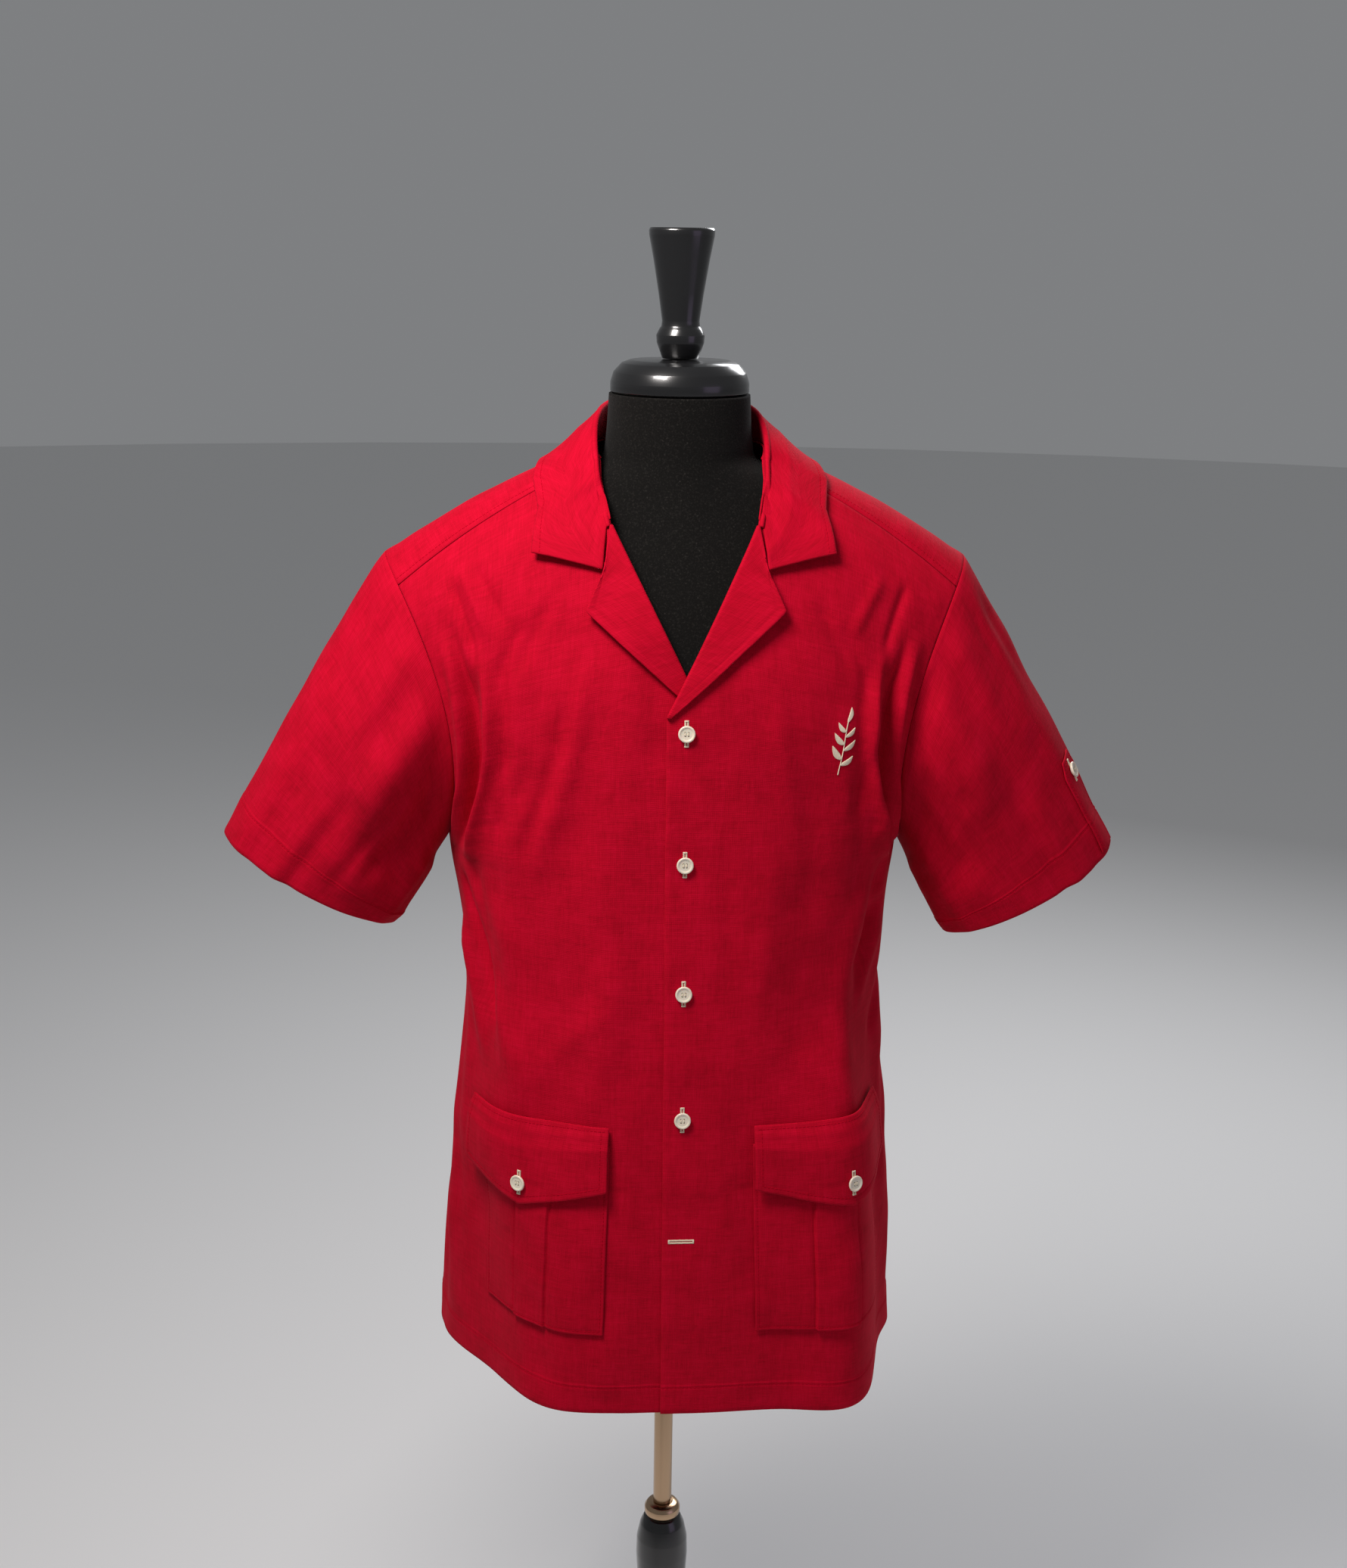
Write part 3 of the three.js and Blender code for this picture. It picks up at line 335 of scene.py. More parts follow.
def seam_fade(share, height, top):
    return (1 - smooth(0.9, 1, share)) * (1 - smooth(top - 70, top - 15, height))


def fine_fade(share, height, top):
    return (1 - smooth(0.95, 1, share)) * (1 - smooth(top - 40, top - 8, height))


class Front:
    """One front of the shirt, seen as the left one; side is -1 for the right front, which lies under."""

    def __init__(self, side):
        self.side = side
        self.fine = FINE_LEFT if side > 0 else FINE_RIGHT
        self.swing = SWING_LEFT if side > 0 else SWING_RIGHT

    def face(self, share, height):
        at = np.abs(share)
        g = at * QUARTER_GIRTH
        large = fold_shift(FRONT_FOLDS, g, height) + fold_shift(self.swing, g, height)
        shift = large * seam_fade(at, height, FRONT_TOP)
        centre_fade = smooth(10, 40, g)
        fine = fold_shift(self.fine, g, height) * centre_fade + rumple(g, height, self.side)
        shift = shift + fine * fine_fade(at, height, FRONT_TOP)
        normal = outward(front_base, np.minimum(share, NEAR_SEAM), height, 0.01, 2, 1)
        sag = HEM_SAG[self.side] * np.exp(-((g - SAG_AT) / SAG_WIDTH) ** 2)
        sag = sag * (1 - smooth(HEM, SAG_TOP, height))
        return front_base(share, height) + normal * shift[..., None] + points(0, 0, -sag)

    def normal(self, share, height):
        return outward(self.face, np.minimum(share, NEAR_SEAM), np.minimum(height, FRONT_TOP - 4), 0.01, 2, 1)

    def tuck(self, place):
        if self.side > 0:
            return 0
        return between(TUCK, "height", "depth", place[..., 2]) * (1 - smooth(18, 50, place[..., 0]))

    def point(self, share, height, lift=0):
        share, height = broadcast(share, height)
        place = self.face(share, height)
        out = np.asarray(lift - self.tuck(place)) * np.ones(share.shape)
        return place + self.normal(share, height) * out[..., None]


def locate(x, z):
    """The place on the front, as share and height, whose view from the front is x, z."""
    share = x / FRONT_REACH
    height = z
    for _ in range(25):
        place = front_base(share, height)
        over = (front_base(share + 0.001, height) - place) / 0.001
        up = (front_base(share, height + 0.1) - place) / 0.1
        area = over[0] * up[2] - up[0] * over[2]
        left_x = x - place[0]
        left_z = z - place[2]
        share = share + (left_x * up[2] - left_z * up[0]) / area
        height = min(height + (left_z * over[0] - left_x * over[2]) / area, FRONT_TOP)
    return np.array([share, height])


def opening_x(z):
    roll = mix(-OVERLAP, NECK_BREAK[0], (z - ROLL_START) / (NECK_BREAK[1] - ROLL_START))
    climb = np.clip((z - NECK_BREAK[1]) / (NECK_SEAM[1] - NECK_BREAK[1]), 0, 1)
    above = mix(NECK_BREAK[0], NECK_SEAM[0], climb)
    return np.where(z <= ROLL_START, -OVERLAP, np.where(z <= NECK_BREAK[1], roll, above))


def halve(inside, low, high, like):
    """The share at which a test along a row turns from inside to outside."""
    low = np.full(np.shape(like), float(low))
    high = np.full(np.shape(like), float(high))
    for _ in range(40):
        middle = (low + high) / 2
        is_inside = inside(middle)
        low = np.where(is_inside, middle, low)
        high = np.where(is_inside, high, middle)
    return high


def front_start(height):
    def inside(share):
        place = front_base(share, height)
        return place[..., 0] < opening_x(place[..., 2])
    return halve(inside, -0.2, 0.6, height)


def yoke_start(depth):
    def inside(share):
        place = yoke_base(share, depth)
        across = place[..., 0] / NECK["half_width"]
        along = (place[..., 1] - NECK["y"]) / NECK["half_depth"]
        return across ** 2 + along ** 2 < 1
    return np.where(depth >= NECK["y"] + NECK["half_depth"], 0, halve(inside, 0, 0.6, depth))


def below_break(height):
    return front_base(front_start(height), height)[..., 2] < NECK_BREAK[1]


BREAK_HEIGHT = float(halve(below_break, ROLL_START, FRONT_TOP, 0.0))


class Grid:
    """Rows of visible points with their place in the cloth, both in millimetres."""

    def __init__(self, place, cloth):
        self.place = place
        self.cloth = cloth

    def mirrored(self):
        return Grid((self.place * [-1, 1, 1])[:, ::-1], self.cloth[:, ::-1])

    def flipped(self):
        return Grid(self.place[:, ::-1], self.cloth[:, ::-1])


def cloth_wall(name, grids, thickness):
    """A closed wall with rounded edges behind the visible points of grids, which may share edges."""
    place = np.concatenate([grid.place.reshape(-1, 3) for grid in grids])
    cloth = np.concatenate([grid.cloth.reshape(-1, 2) for grid in grids])
    quads = []
    offset = 0
    for grid in grids:
        rows, columns = grid.place.shape[:2]
        number = np.arange(rows * columns).reshape(rows, columns) + offset
        corners = number[:-1, :-1], number[:-1, 1:], number[1:, 1:], number[1:, :-1]
        quads.append(np.stack(corners, -1).reshape(-1, 4))
        offset += rows * columns
    _, first, same = np.unique(np.round(place, 3), axis=0, return_index=True, return_inverse=True)
    place = place[first]
    cloth = cloth[first]
    quads = same.reshape(-1)[np.concatenate(quads)]
    face_normal = np.cross(place[quads[:, 2]] - place[quads[:, 0]], place[quads[:, 3]] - place[quads[:, 1]])
    normal = np.zeros_like(place)
    for corner in range(4):
        np.add.at(normal, quads[:, corner], face_normal)
    normal = unit(normal)
    edges = np.concatenate([quads[:, [i, (i + 1) % 4]] for i in range(4)])
    edges = edges[edges[:, 0] != edges[:, 1]]
    key = edges[:, 0] * len(place) + edges[:, 1]
    back = edges[:, 1] * len(place) + edges[:, 0]
    rim = edges[~np.isin(key, back)]
    beyond = np.zeros_like(place)
    push = np.cross(place[rim[:, 1]] - place[rim[:, 0]], normal[rim[:, 0]])
    np.add.at(beyond, rim[:, 0], unit(push))
    np.add.at(beyond, rim[:, 1], unit(push))
    count = len(place)
    used = np.unique(rim)
    middle = np.zeros(count, int)
    middle[used] = 2 * count + np.arange(len(used))
    inner = place - normal * thickness
    bulge = (place[used] + inner[used]) / 2 + unit(beyond[used]) * thickness / 2
    verts = np.concatenate([place, inner, bulge])
    a, b = rim[:, 0], rim[:, 1]
    faces = np.concatenate([quads, quads[:, ::-1] + count, np.stack([b, a, middle[a], middle[b]], -1),
                            np.stack([middle[b], middle[a], a + count, b + count], -1)])
    return mesh_from(name, verts * MM, faces, np.concatenate([cloth, cloth, cloth[used]]) * MM)


def mesh_from(name, verts, faces, cloth=None):
    tidy = [list(dict.fromkeys(face)) for face in faces.tolist()]
    mesh = bpy.data.meshes.new(name)
    mesh.from_pydata(verts.tolist(), [], [face for face in tidy if len(face) > 2])
    mesh.polygons.foreach_set("use_smooth", [True] * len(mesh.polygons))
    if cloth is not None:
        layer = mesh.uv_layers.new(name="cloth")
        corner = np.zeros(len(mesh.loops), int)
        mesh.loops.foreach_get("vertex_index", corner)
        layer.data.foreach_set("uv", cloth[corner].reshape(-1))
    mesh.update()
    return mesh


def show(name, mesh, material, nodes=()):
    piece = bpy.data.objects.new(name, mesh)
    bpy.context.scene.collection.objects.link(piece)
    mesh.materials.append(material)
    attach(piece, "root")
    if nodes:
        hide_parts(*nodes)
    return piece


def stepped(*stretches):
    """Values from several stretches of start, end and count, in one rising row."""
    return np.unique(np.concatenate([np.linspace(start, end, count) for start, end, count in stretches]))


def cloth_of(place, across):
    """Place in the cloth of a grid, with the distance across and the height measured along the rows."""
    up = np.linalg.norm(np.diff(place, axis=0, prepend=place[:1]), axis=-1).cumsum(0)
    return np.stack([across, up], -1)


def run_length(place):
    return np.linalg.norm(np.diff(place, axis=1, prepend=place[:, :1]), axis=-1).cumsum(1)


SHARE_GAP = SEAM_GAP / 2 / QUARTER_GIRTH
ROLL_HEIGHTS = np.linspace(ROLL_START, BREAK_HEIGHT, 57)
FRONT_COLUMNS = 84
BAND_EDGE = HEM + HEM_BAND
HEM_STITCH = BAND_EDGE - 2
HEM_ROWS = ((HEM, BAND_EDGE - 5, 6), (BAND_EDGE - 4, BAND_EDGE + 2, 10))


def band_lift(height):
    """The hem's second layer, with the groove that its stitching pulls in."""
    groove = 0.4 * np.exp(-((height - HEM_STITCH) / 0.9) ** 2)
    return 0.5 * (1 - smooth(BAND_EDGE - 0.6, BAND_EDGE + 0.6, height)) - groove


def edge_stitch_lift(distance, inset=6.0):
    """A shallow groove along topstitching that runs beside an edge."""
    return -0.3 * np.exp(-((distance - inset) / 0.9) ** 2)


def front_grids(front):
    heights = np.unique(np.concatenate([
        stepped(*HEM_ROWS, (BAND_EDGE + 5, ROLL_START, 150)),
        ROLL_HEIGHTS, np.linspace(BREAK_HEIGHT, FRONT_TOP - SEAM_GAP, 16)]))
    start = front_start(heights)
    along = np.linspace(0, 1, FRONT_COLUMNS)
    share = mix(start[:, None], 1 - SHARE_GAP, along[None])
    height = np.broadcast_to(heights[:, None], share.shape)
    place = front.point(share, height, band_lift(height))
    across = run_length(place) + start[:, None] * QUARTER_GIRTH
    body = Grid(place, np.stack([across, height], -1))
    return [body, lapel_grid(front)]


def lapel_edge(roll):
    start = (-OVERLAP, ROLL_START)
    if roll < LAPEL_TIP_SHARE:
        share = roll / LAPEL_TIP_SHARE
        corners = (start, LAPEL_TIP)
    else:
        share = (roll - LAPEL_TIP_SHARE) / (1 - LAPEL_TIP_SHARE)
        corners = (LAPEL_TIP, NOTCH)
    return locate(mix(corners[0][0], corners[1][0], share), mix(corners[0][1], corners[1][1], share))


LAPEL_COLUMNS = 28
LAPEL_TURN = 6


def lapel_grid(front):
    """The lapel grows out of the roll line and lies over the front, standing off towards its edge."""
    rows = []
    cloth = []
    for index, height in enumerate(ROLL_HEIGHTS):
        if index == 0:
            continue
        roll = index / (len(ROLL_HEIGHTS) - 1)
        start = float(front_start(height))
        edge = lapel_edge(roll)
        rim = front.point(start, height)
        near = front.face(np.array([start, start + 0.01]), height)
        across = unit(near[1] - near[0])
        normal = front.normal(np.array(start), height)
        angles = np.linspace(0, np.pi, LAPEL_TURN + 1)[1:-1, None]
        turn = rim + normal * ROLL_RADIUS * (1 - np.cos(angles)) - across * ROLL_RADIUS * np.sin(angles)
        share = np.linspace(0, 1, LAPEL_COLUMNS)
        width = np.linalg.norm(front.face(edge[0], edge[1]) - front.face(start, height))
        curl = 0.06 * share + 0.05 * share ** 3 + 0.012 * np.sin(np.pi * share) * np.sin(roll * 7)
        lift = 2 * ROLL_RADIUS + width * curl + edge_stitch_lift(width * (1 - share)) * min(width / 20, 1)
        flat = front.point(mix(start, edge[0], share), mix(height, edge[1], share), lift)
        rows.append(np.concatenate([rim[None], turn, flat])[::-1])
        run = np.concatenate([[0], np.linspace(0, 3, LAPEL_TURN - 1), 3 + share * width])
        cloth.append(np.stack([start * QUARTER_GIRTH - run, np.full(len(run), height)], -1)[::-1])
    return Grid(np.array(rows), np.array(cloth))


def back_grids():
    heights = stepped(*HEM_ROWS, (BAND_EDGE + 5, BACK_TOP - SEAM_GAP, 170))
    share, height = np.meshgrid(np.linspace(0, 1 - SHARE_GAP, 80), heights)
    halves = []
    for side in (1, -1):
        g = share * QUARTER_GIRTH
        shift = fold_shift(BACK_FOLDS, g, height) * seam_fade(share, height, BACK_TOP)
        fade = fine_fade(share, height, BACK_TOP)
        fine = fold_shift(FINE_BACK, g + 12 * (1 - side), height) + rumple(g, height, side + 4)
        shift = shift + fine * fade * smooth(0, 14, g)
        at = np.clip(share, NEAR_CENTRE, NEAR_SEAM)
        normal = outward(back_base, at, np.minimum(height, BACK_TOP - 3), 0.01, 2, -1)
        normal[:, 0, 0] = 0
        place = back_base(share, height) + normal * (shift + band_lift(height))[..., None]
        grid = Grid(place, np.stack([run_length(place), height], -1))
        halves.append(grid.flipped() if side > 0 else grid.mirrored().flipped())
    halves[1].cloth = halves[1].cloth * [-1, 1]
    return halves


def yoke_grids():
    angles = np.linspace(NECK_FRONT_ANGLE, np.pi / 2, 44)
    depths = NECK["y"] + NECK["half_depth"] * np.sin(angles)
    depths[0] = YOKE_FRONT + SEAM_GAP
    depths = np.concatenate([depths, np.linspace(depths[-1], YOKE_BACK - SEAM_GAP / 2, 22)[1:]])
    share = mix(yoke_start(depths)[:, None], 1, np.linspace(0, 1, 64)[None])
    depth = np.broadcast_to(depths[:, None], share.shape)
    at = np.maximum(share, NEAR_CENTRE)
    normal = outward(yoke_base, at, depth, 0.01, 1, 1)
    normal[share[:, 0] == 0, 0, 0] = 0
    fade = (smooth(0, 0.1, share) * (1 - smooth(0.93, 1, share)) * smooth(YOKE_FRONT, YOKE_FRONT + 9, depth)
            * (1 - smooth(YOKE_BACK - 9, YOKE_BACK, depth)))
    place = yoke_base(share, depth) + normal * (rumple(share * 240, depth, 2) * 1.2 * fade)[..., None]
    grid = Grid(place, cloth_of(place, run_length(place)))
    other = grid.mirrored()
    other.cloth = other.cloth * [-1, 1]
    return [grid, other]


def sleeve_base(angle, share, side):
    start = armhole(angle)
    end = points(SLEEVE_HEM["x"] + SLEEVE_HEM["out"] * np.cos(angle),
                 SLEEVE_HEM["y"] - SLEEVE_HEM["depth"] * np.sin(angle),
                 SLEEVE_HEM["z"] - SLEEVE_DROP[side] + SLEEVE_HEM["up"] * np.cos(angle))
    outside = np.maximum(np.cos(angle), 0)
    cap = SLEEVE_CAP * outside * np.sin(np.pi * np.clip(share, 0, 1) ** 0.55)
    puff = SLEEVE_PUFF * np.sin(np.pi * share) * np.abs(np.sin(angle))
    grown = points(cap, -puff * np.sign(np.sin(angle)), cap * 0.55)
    return mix(start, end, np.asarray(share)[..., None]) + grown


def sleeve_point(angle, share, lift, side):
    other = side < 0
    angle, share = broadcast(angle, share)
    shift = lift + np.zeros(angle.shape)
    for rows, fade_in, offset in ((SLEEVE_FOLDS, 0.2, 0), (FINE_SLEEVE, 0.12, 0.12 * other)):
        for middle, start, end, width, depth in zip(*rows.values()):
            middle = middle + offset
            away = np.arctan2(np.sin(angle - middle), np.cos(angle - middle))
            fade = smooth(start, start + fade_in, share) * (1 - smooth(end - 0.25, end, share))
            shift = shift + depth * fade * np.exp(-(away / width) ** 2)
    fade = smooth(0, 0.06, share)
    wave = rumple(angle * SLEEVE_RADIUS, share * SLEEVE_LENGTH, other + 7) * (1 - np.abs(angle / np.pi) ** 8)
    band = 0.5 * smooth(SLEEVE_BAND - 0.003, SLEEVE_BAND + 0.003, share)
    groove = -0.4 * np.exp(-((share - SLEEVE_BAND - 0.009) / 0.0035) ** 2)
    normal = outward(lambda a, b: sleeve_base(a, b, side), angle, share, 0.02, 0.01, 1)
    return sleeve_base(angle, share, side) + normal * (shift + wave * 1.2 * fade + band + groove)[..., None]


def sleeve_grid(side):
    shares = stepped((SLEEVE_GAP / SLEEVE_LENGTH, SLEEVE_BAND - 0.02, 62),
                     (SLEEVE_BAND - 0.015, SLEEVE_BAND + 0.025, 13), (SLEEVE_BAND + 0.03, 1, 9))
    angle, share = np.meshgrid(np.linspace(-np.pi, np.pi, 150), shares)
    place = sleeve_point(angle, share, 0, side)
    place[:, -1] = place[:, 0]
    return Grid(place, np.stack([angle * SLEEVE_RADIUS, -share * SLEEVE_LENGTH], -1))


# The fold line of the collar, and its outer edge on the yoke, row by row from the front to the centre back
COLLAR_FOLD = np.array([(58.5, -78.5, 1378), (64, -58, 1402), (66.5, -36, 1426), (64.5, 0, 1451),
                        (53, 36, 1461), (29, 58.5, 1465.5), (0, 65, 1467), (-29, 58.5, 1465.5)], float)
COLLAR_EDGE = table(
    "row share depth",
    (4, 0.44, -24), (5, 0.42, -6), (7, 0.375, 34), (9, 0.255, 66), (11, 0.09, 79), (12, 0, 81))
COLLAR_ROWS = 12
COLLAR_FRONT_ROWS = 3
COLLAR_STAND = 8
COLLAR_TURN = 10
COLLAR_FALL = 40
COLLAR = dict(foot=0.9, low_rise=0.6, front_radius=1.9, back_radius=2.4, tip_lift=3.4, near_lift=1.4,
              edge_lift=2.6)


def collar_fold(share):
    """A point of the fold line, on a centripetal curve through its points."""
    spot = share * (len(COLLAR_FOLD) - 1)
    low = min(int(spot), len(COLLAR_FOLD) - 2)
    start, end = COLLAR_FOLD[low], COLLAR_FOLD[low + 1]
    before = COLLAR_FOLD[low - 1] if low else 2 * start - end
    after = COLLAR_FOLD[low + 2] if low + 2 < len(COLLAR_FOLD) else 2 * end - start
    pairs = (before, start), (start, end), (end, after)
    first, middle, last = (np.linalg.norm(b - a) ** 0.5 for a, b in pairs)
    bend_start = (start - before) / first - (end - before) / (first + middle) + (end - start) / middle
    bend_end = (end - start) / middle - (after - start) / (middle + last) + (after - end) / last
    return hermite(start, end, bend_start * middle, bend_end * middle, spot - low)


front_left = Front(1)
front_right = Front(-1)


def collar_ground(row, share):
    """Points under the collar and their outward directions, for one row."""
    if row < COLLAR_FRONT_ROWS + 1:
        climb = row / (COLLAR_FRONT_ROWS + 1)
        height = mix(BREAK_HEIGHT + GORGE_GAP, FRONT_TOP, climb)
        neck = np.array([float(front_start(height)), height])
        tip = locate(*COLLAR_TIP)
        notch = locate(NOTCH[0], NOTCH[1] + GORGE_GAP)
        edge = mix(tip, locate(*COLLAR_SHOULDER), climb)
        column = share[:, None]
        bent = np.where(column < 0.5, mix(neck, notch, column * 2), mix(notch, tip, column * 2 - 1))
        place = mix(mix(neck, edge, column), bent, max(1 - row, 0))
        return front_left.face(place[:, 0], place[:, 1]), front_left.normal(place[:, 0], place[:, 1])
    turn = (row - COLLAR_FRONT_ROWS - 1) / (COLLAR_ROWS - COLLAR_FRONT_ROWS - 1)
    neck_depth = NECK["y"] + NECK["half_depth"] * math.sin(mix(NECK_FRONT_ANGLE, np.pi / 2, turn))
    depth = mix(neck_depth, between(COLLAR_EDGE, "row", "depth", row), share)
    at = np.maximum(mix(float(yoke_start(neck_depth)), between(COLLAR_EDGE, "row", "share", row), share), 0)
    return yoke_base(at, depth), outward(yoke_base, np.maximum(at, NEAR_CENTRE), depth, 0.01, 1, 1)


def collar_row(row):
    share = np.linspace(0, 1, COLLAR_FALL + 1)
    ground, out = collar_ground(row, share)
    base = ground[0] + out[0] * COLLAR["foot"]
    low_top = base + out[0] * COLLAR["low_rise"]
    top = mix(low_top, collar_fold(6 / 7 * row / COLLAR_ROWS), smooth(0, 1, row))
    rise = top - base
    up = unit(mix(out[0], unit(rise), smooth(0, 1, row)))
    away = ground[-1] - top
    away = unit(away - up * away.dot(up))
    radius = mix(COLLAR["front_radius"], COLLAR["back_radius"], smooth(0, 4, row))
    stand = base + rise * np.linspace(0, 1, COLLAR_STAND)[:-1, None]
    angle = np.linspace(0, np.pi, COLLAR_TURN)[:, None]
    turn = top + away * radius * (1 - np.cos(angle)) + up * radius * np.sin(angle)
    drop = turn[-1] - ground[0]
    width = np.linalg.norm(ground[-1] - ground[0])
    tip = COLLAR["tip_lift"] * smooth(0.45, 1, share) * (1 - smooth(1, 5, row))
    lift = LAYER_GAP + COLLAR_CLOTH + mix(COLLAR["near_lift"], COLLAR["edge_lift"], share) + tip
    lift = lift + edge_stitch_lift(width * (1 - share))
    lift = (lift * np.minimum(share * 3, 1))[1:, None]
    fall = ground[1:] + drop * ((1 - share) ** 1.5)[1:, None] + out[1:] * lift
    return np.concatenate([stand, turn, fall])


def collar_grids():
    rows = np.unique(np.concatenate([np.linspace(0, 1, 13), np.linspace(1, COLLAR_ROWS, 70)]))
    place = np.array([collar_row(row) for row in rows])
    place[-1, :, 0] = 0
    grid = Grid(place, cloth_of(place, run_length(place)))
    other = grid.mirrored()
    other.cloth = other.cloth * [1, -1] + [0, 2 * grid.cloth[-1, :, 1].max()]
    return [grid, other]


def pocket_grid(front):
    """A patch pocket with a box pleat, from the points of its front."""
    inner = locate(POCKET["inner"], POCKET["middle"])[0]
    outer = locate(POCKET["outer"], POCKET["middle"])[0]
    low = 0.5 - POCKET["pleat_half"]
    half = stepped((0, 0.03, 5), (0.06, low - 0.03, 12), (low - 0.02, low + 0.012, 14), (low + 0.03, 0.5, 8))
    share = np.concatenate([half, 1 - half[:-1][::-1]])
    heights = stepped((POCKET["bottom"], POCKET["bottom"] + 4, 7), (POCKET["bottom"] + 6, POCKET["top"], 70))
    share, height = np.meshgrid(share, heights)
    raised = POCKET["pleat_rise"] * smooth(low - 0.012, low, np.minimum(share, 1 - share))
    sides = np.minimum(np.minimum(share, 1 - share) * POCKET["width"], height - POCKET["bottom"])
    under = -0.9 * np.exp(-((np.minimum(share, 1 - share) - low + 0.016) / 0.006) ** 2)
    loose = 0.88 * smooth(POCKET["loose_from"], POCKET["top"], height) * np.sin(np.pi * share) ** 2
    lift = POCKET["gap"] + CLOTH + raised + under + loose + edge_stitch_lift(sides, 2.5)
    place = front.point(mix(inner, outer, share), height, lift)
    return Grid(place, np.stack([share * POCKET["width"], height], -1))


def flap_grid(front):
    inner = locate(FLAP["inner"], FLAP["middle"])[0]
    outer = locate(FLAP["outer"], FLAP["middle"])[0]
    share, down = np.meshgrid(np.linspace(0, 1, 61), np.linspace(1, 0, 40))
    bottom = mix(FLAP["side"], FLAP["point"], 1 - np.abs(share - 0.5) * 2)
    height = mix(FLAP["top"], bottom, down)
    edge = np.minimum(np.minimum(share, 1 - share) * FLAP["width"], (height - bottom) * 0.9)
    curl = 1.6 * smooth(0.5, 1, down) * (np.abs(share - 0.5) * 2) ** 3
    fold = 0.6 * np.exp(-((down - 0.14) / 0.05) ** 2)
    lift = FLAP["lift"] + FLAP["stand"] * np.minimum(down * 3, 1) + curl + fold + edge_stitch_lift(edge, 5)
    place = front.point(mix(inner, outer, share), height, lift)
    return Grid(place, np.stack([share * FLAP["width"], height], -1))


def tab_grid(side):
    across, share = np.meshgrid(np.linspace(-1, 1, 25), np.linspace(TAB["top"], TAB["bottom"], 50))
    half = TAB["half_angle"] * mix(0.72, 1, smooth(TAB["top"], TAB["top"] + 0.05, share))
    edge = (1 - np.abs(across)) * TAB["half_width"]
    lift = LAYER_GAP + CLOTH + edge_stitch_lift(edge, 2.5)
    place = sleeve_point(TAB_ANGLE[side] + half * across, share, lift, side)
    return Grid(place, np.stack([across * TAB["half_width"], -share * SLEEVE_LENGTH], -1))


FORM_SECTIONS = table(
    "z half front back power",
    (716, 160, 104, 104, 2.3), (722, 166, 110, 109, 2.3), (780, 170, 114, 113, 2.3),
    (850, 165, 111, 110, 2.3), (930, 154, 104, 102, 2.3), (1000, 152, 104, 102, 2.3),
    (1070, 162, 111, 110, 2.3), (1140, 172, 119, 117, 2.3), (1200, 184, 123, 120, 2.2),
    (1250, 196, 117.8, 116, 2.1), (1290, 204, 105, 107, 2), (1320, 206, 94, 97, 1.8),
    (1340, 202, 86, 88, 1.6), (1358, 187, 79, 81, 1.45), (1376, 161.5, 72, 75, 1.4),
    (1394, 121.5, 66, 69, 1.5), (1408, 88.5, 62, 63, 1.7), (1420, 65, 60, 60, 1.9),
    (1432, 60, 59, 59.5, 2), (1472, 57, 57, 57, 2))

# Turned pieces as radius and height, from the bottom up
CAP_PROFILE = [
    (0, 1472.3), (54, 1472.3), (56, 1474), (56, 1481), (53.5, 1489), (47, 1496), (40, 1498.5),
    (0, 1499.5)]
FINIAL_PROFILE = [
    (0, 1499.8), (14.5, 1499.8), (16, 1504), (19, 1512), (19.5, 1518), (17, 1523), (15.5, 1525),
    (15, 1529), (18, 1550), (22.5, 1577), (26, 1595), (26.2, 1599), (25, 1601), (14, 1600.4), (0, 1599.6)]
POLE_PROFILE = [(0, 447), (8.2, 447), (8.5, 447.6), (8.5, 715.7), (0, 715.7)]
RING_PROFILE = [(0, 434.3), (15, 434.3), (16.5, 436), (16.5, 442), (14, 445.5), (10, 446.7), (0, 446.7)]
HUB_PROFILE = [
    (0, 24.3), (46, 24.3), (44, 32), (31, 46), (23, 74), (19, 130), (18.5, 230), (20.5, 330), (24, 392),
    (23.5, 410), (20.5, 424), (17, 432), (14, 434), (0, 434)]
BASE_PROFILE = [(0, 0), (168, 0), (172, 3), (172, 12), (166, 19), (140, 23), (60, 24), (0, 24)]


def ring_faces(rows, columns):
    number = np.arange(rows * columns).reshape(rows, columns)
    after = np.roll(number, -1, axis=1)
    return np.stack([number[:-1], after[:-1], after[1:], number[1:]], -1).reshape(-1, 4)


def turned(profile, sides):
    """A turned piece, with its rows doubled beside each corner so that the corner stays crisp but soft."""
    outline = np.array(profile, float)
    rows = [outline[0]]
    for before, here, after in zip(outline[:-2], outline[1:-1], outline[2:]):
        for other in (before, after):
            length = np.linalg.norm(other - here)
            rows.append(here + (other - here) * min(0.35 / max(length, 1e-6), 0.3))
    rows.append(outline[-1])
    rows = np.array(rows)
    angles = np.arange(sides) * 2 * np.pi / sides
    verts = points(rows[:, :1] * np.cos(angles), rows[:, :1] * np.sin(angles), rows[:, 1:])
    return verts.reshape(-1, 3), ring_faces(len(rows), sides)


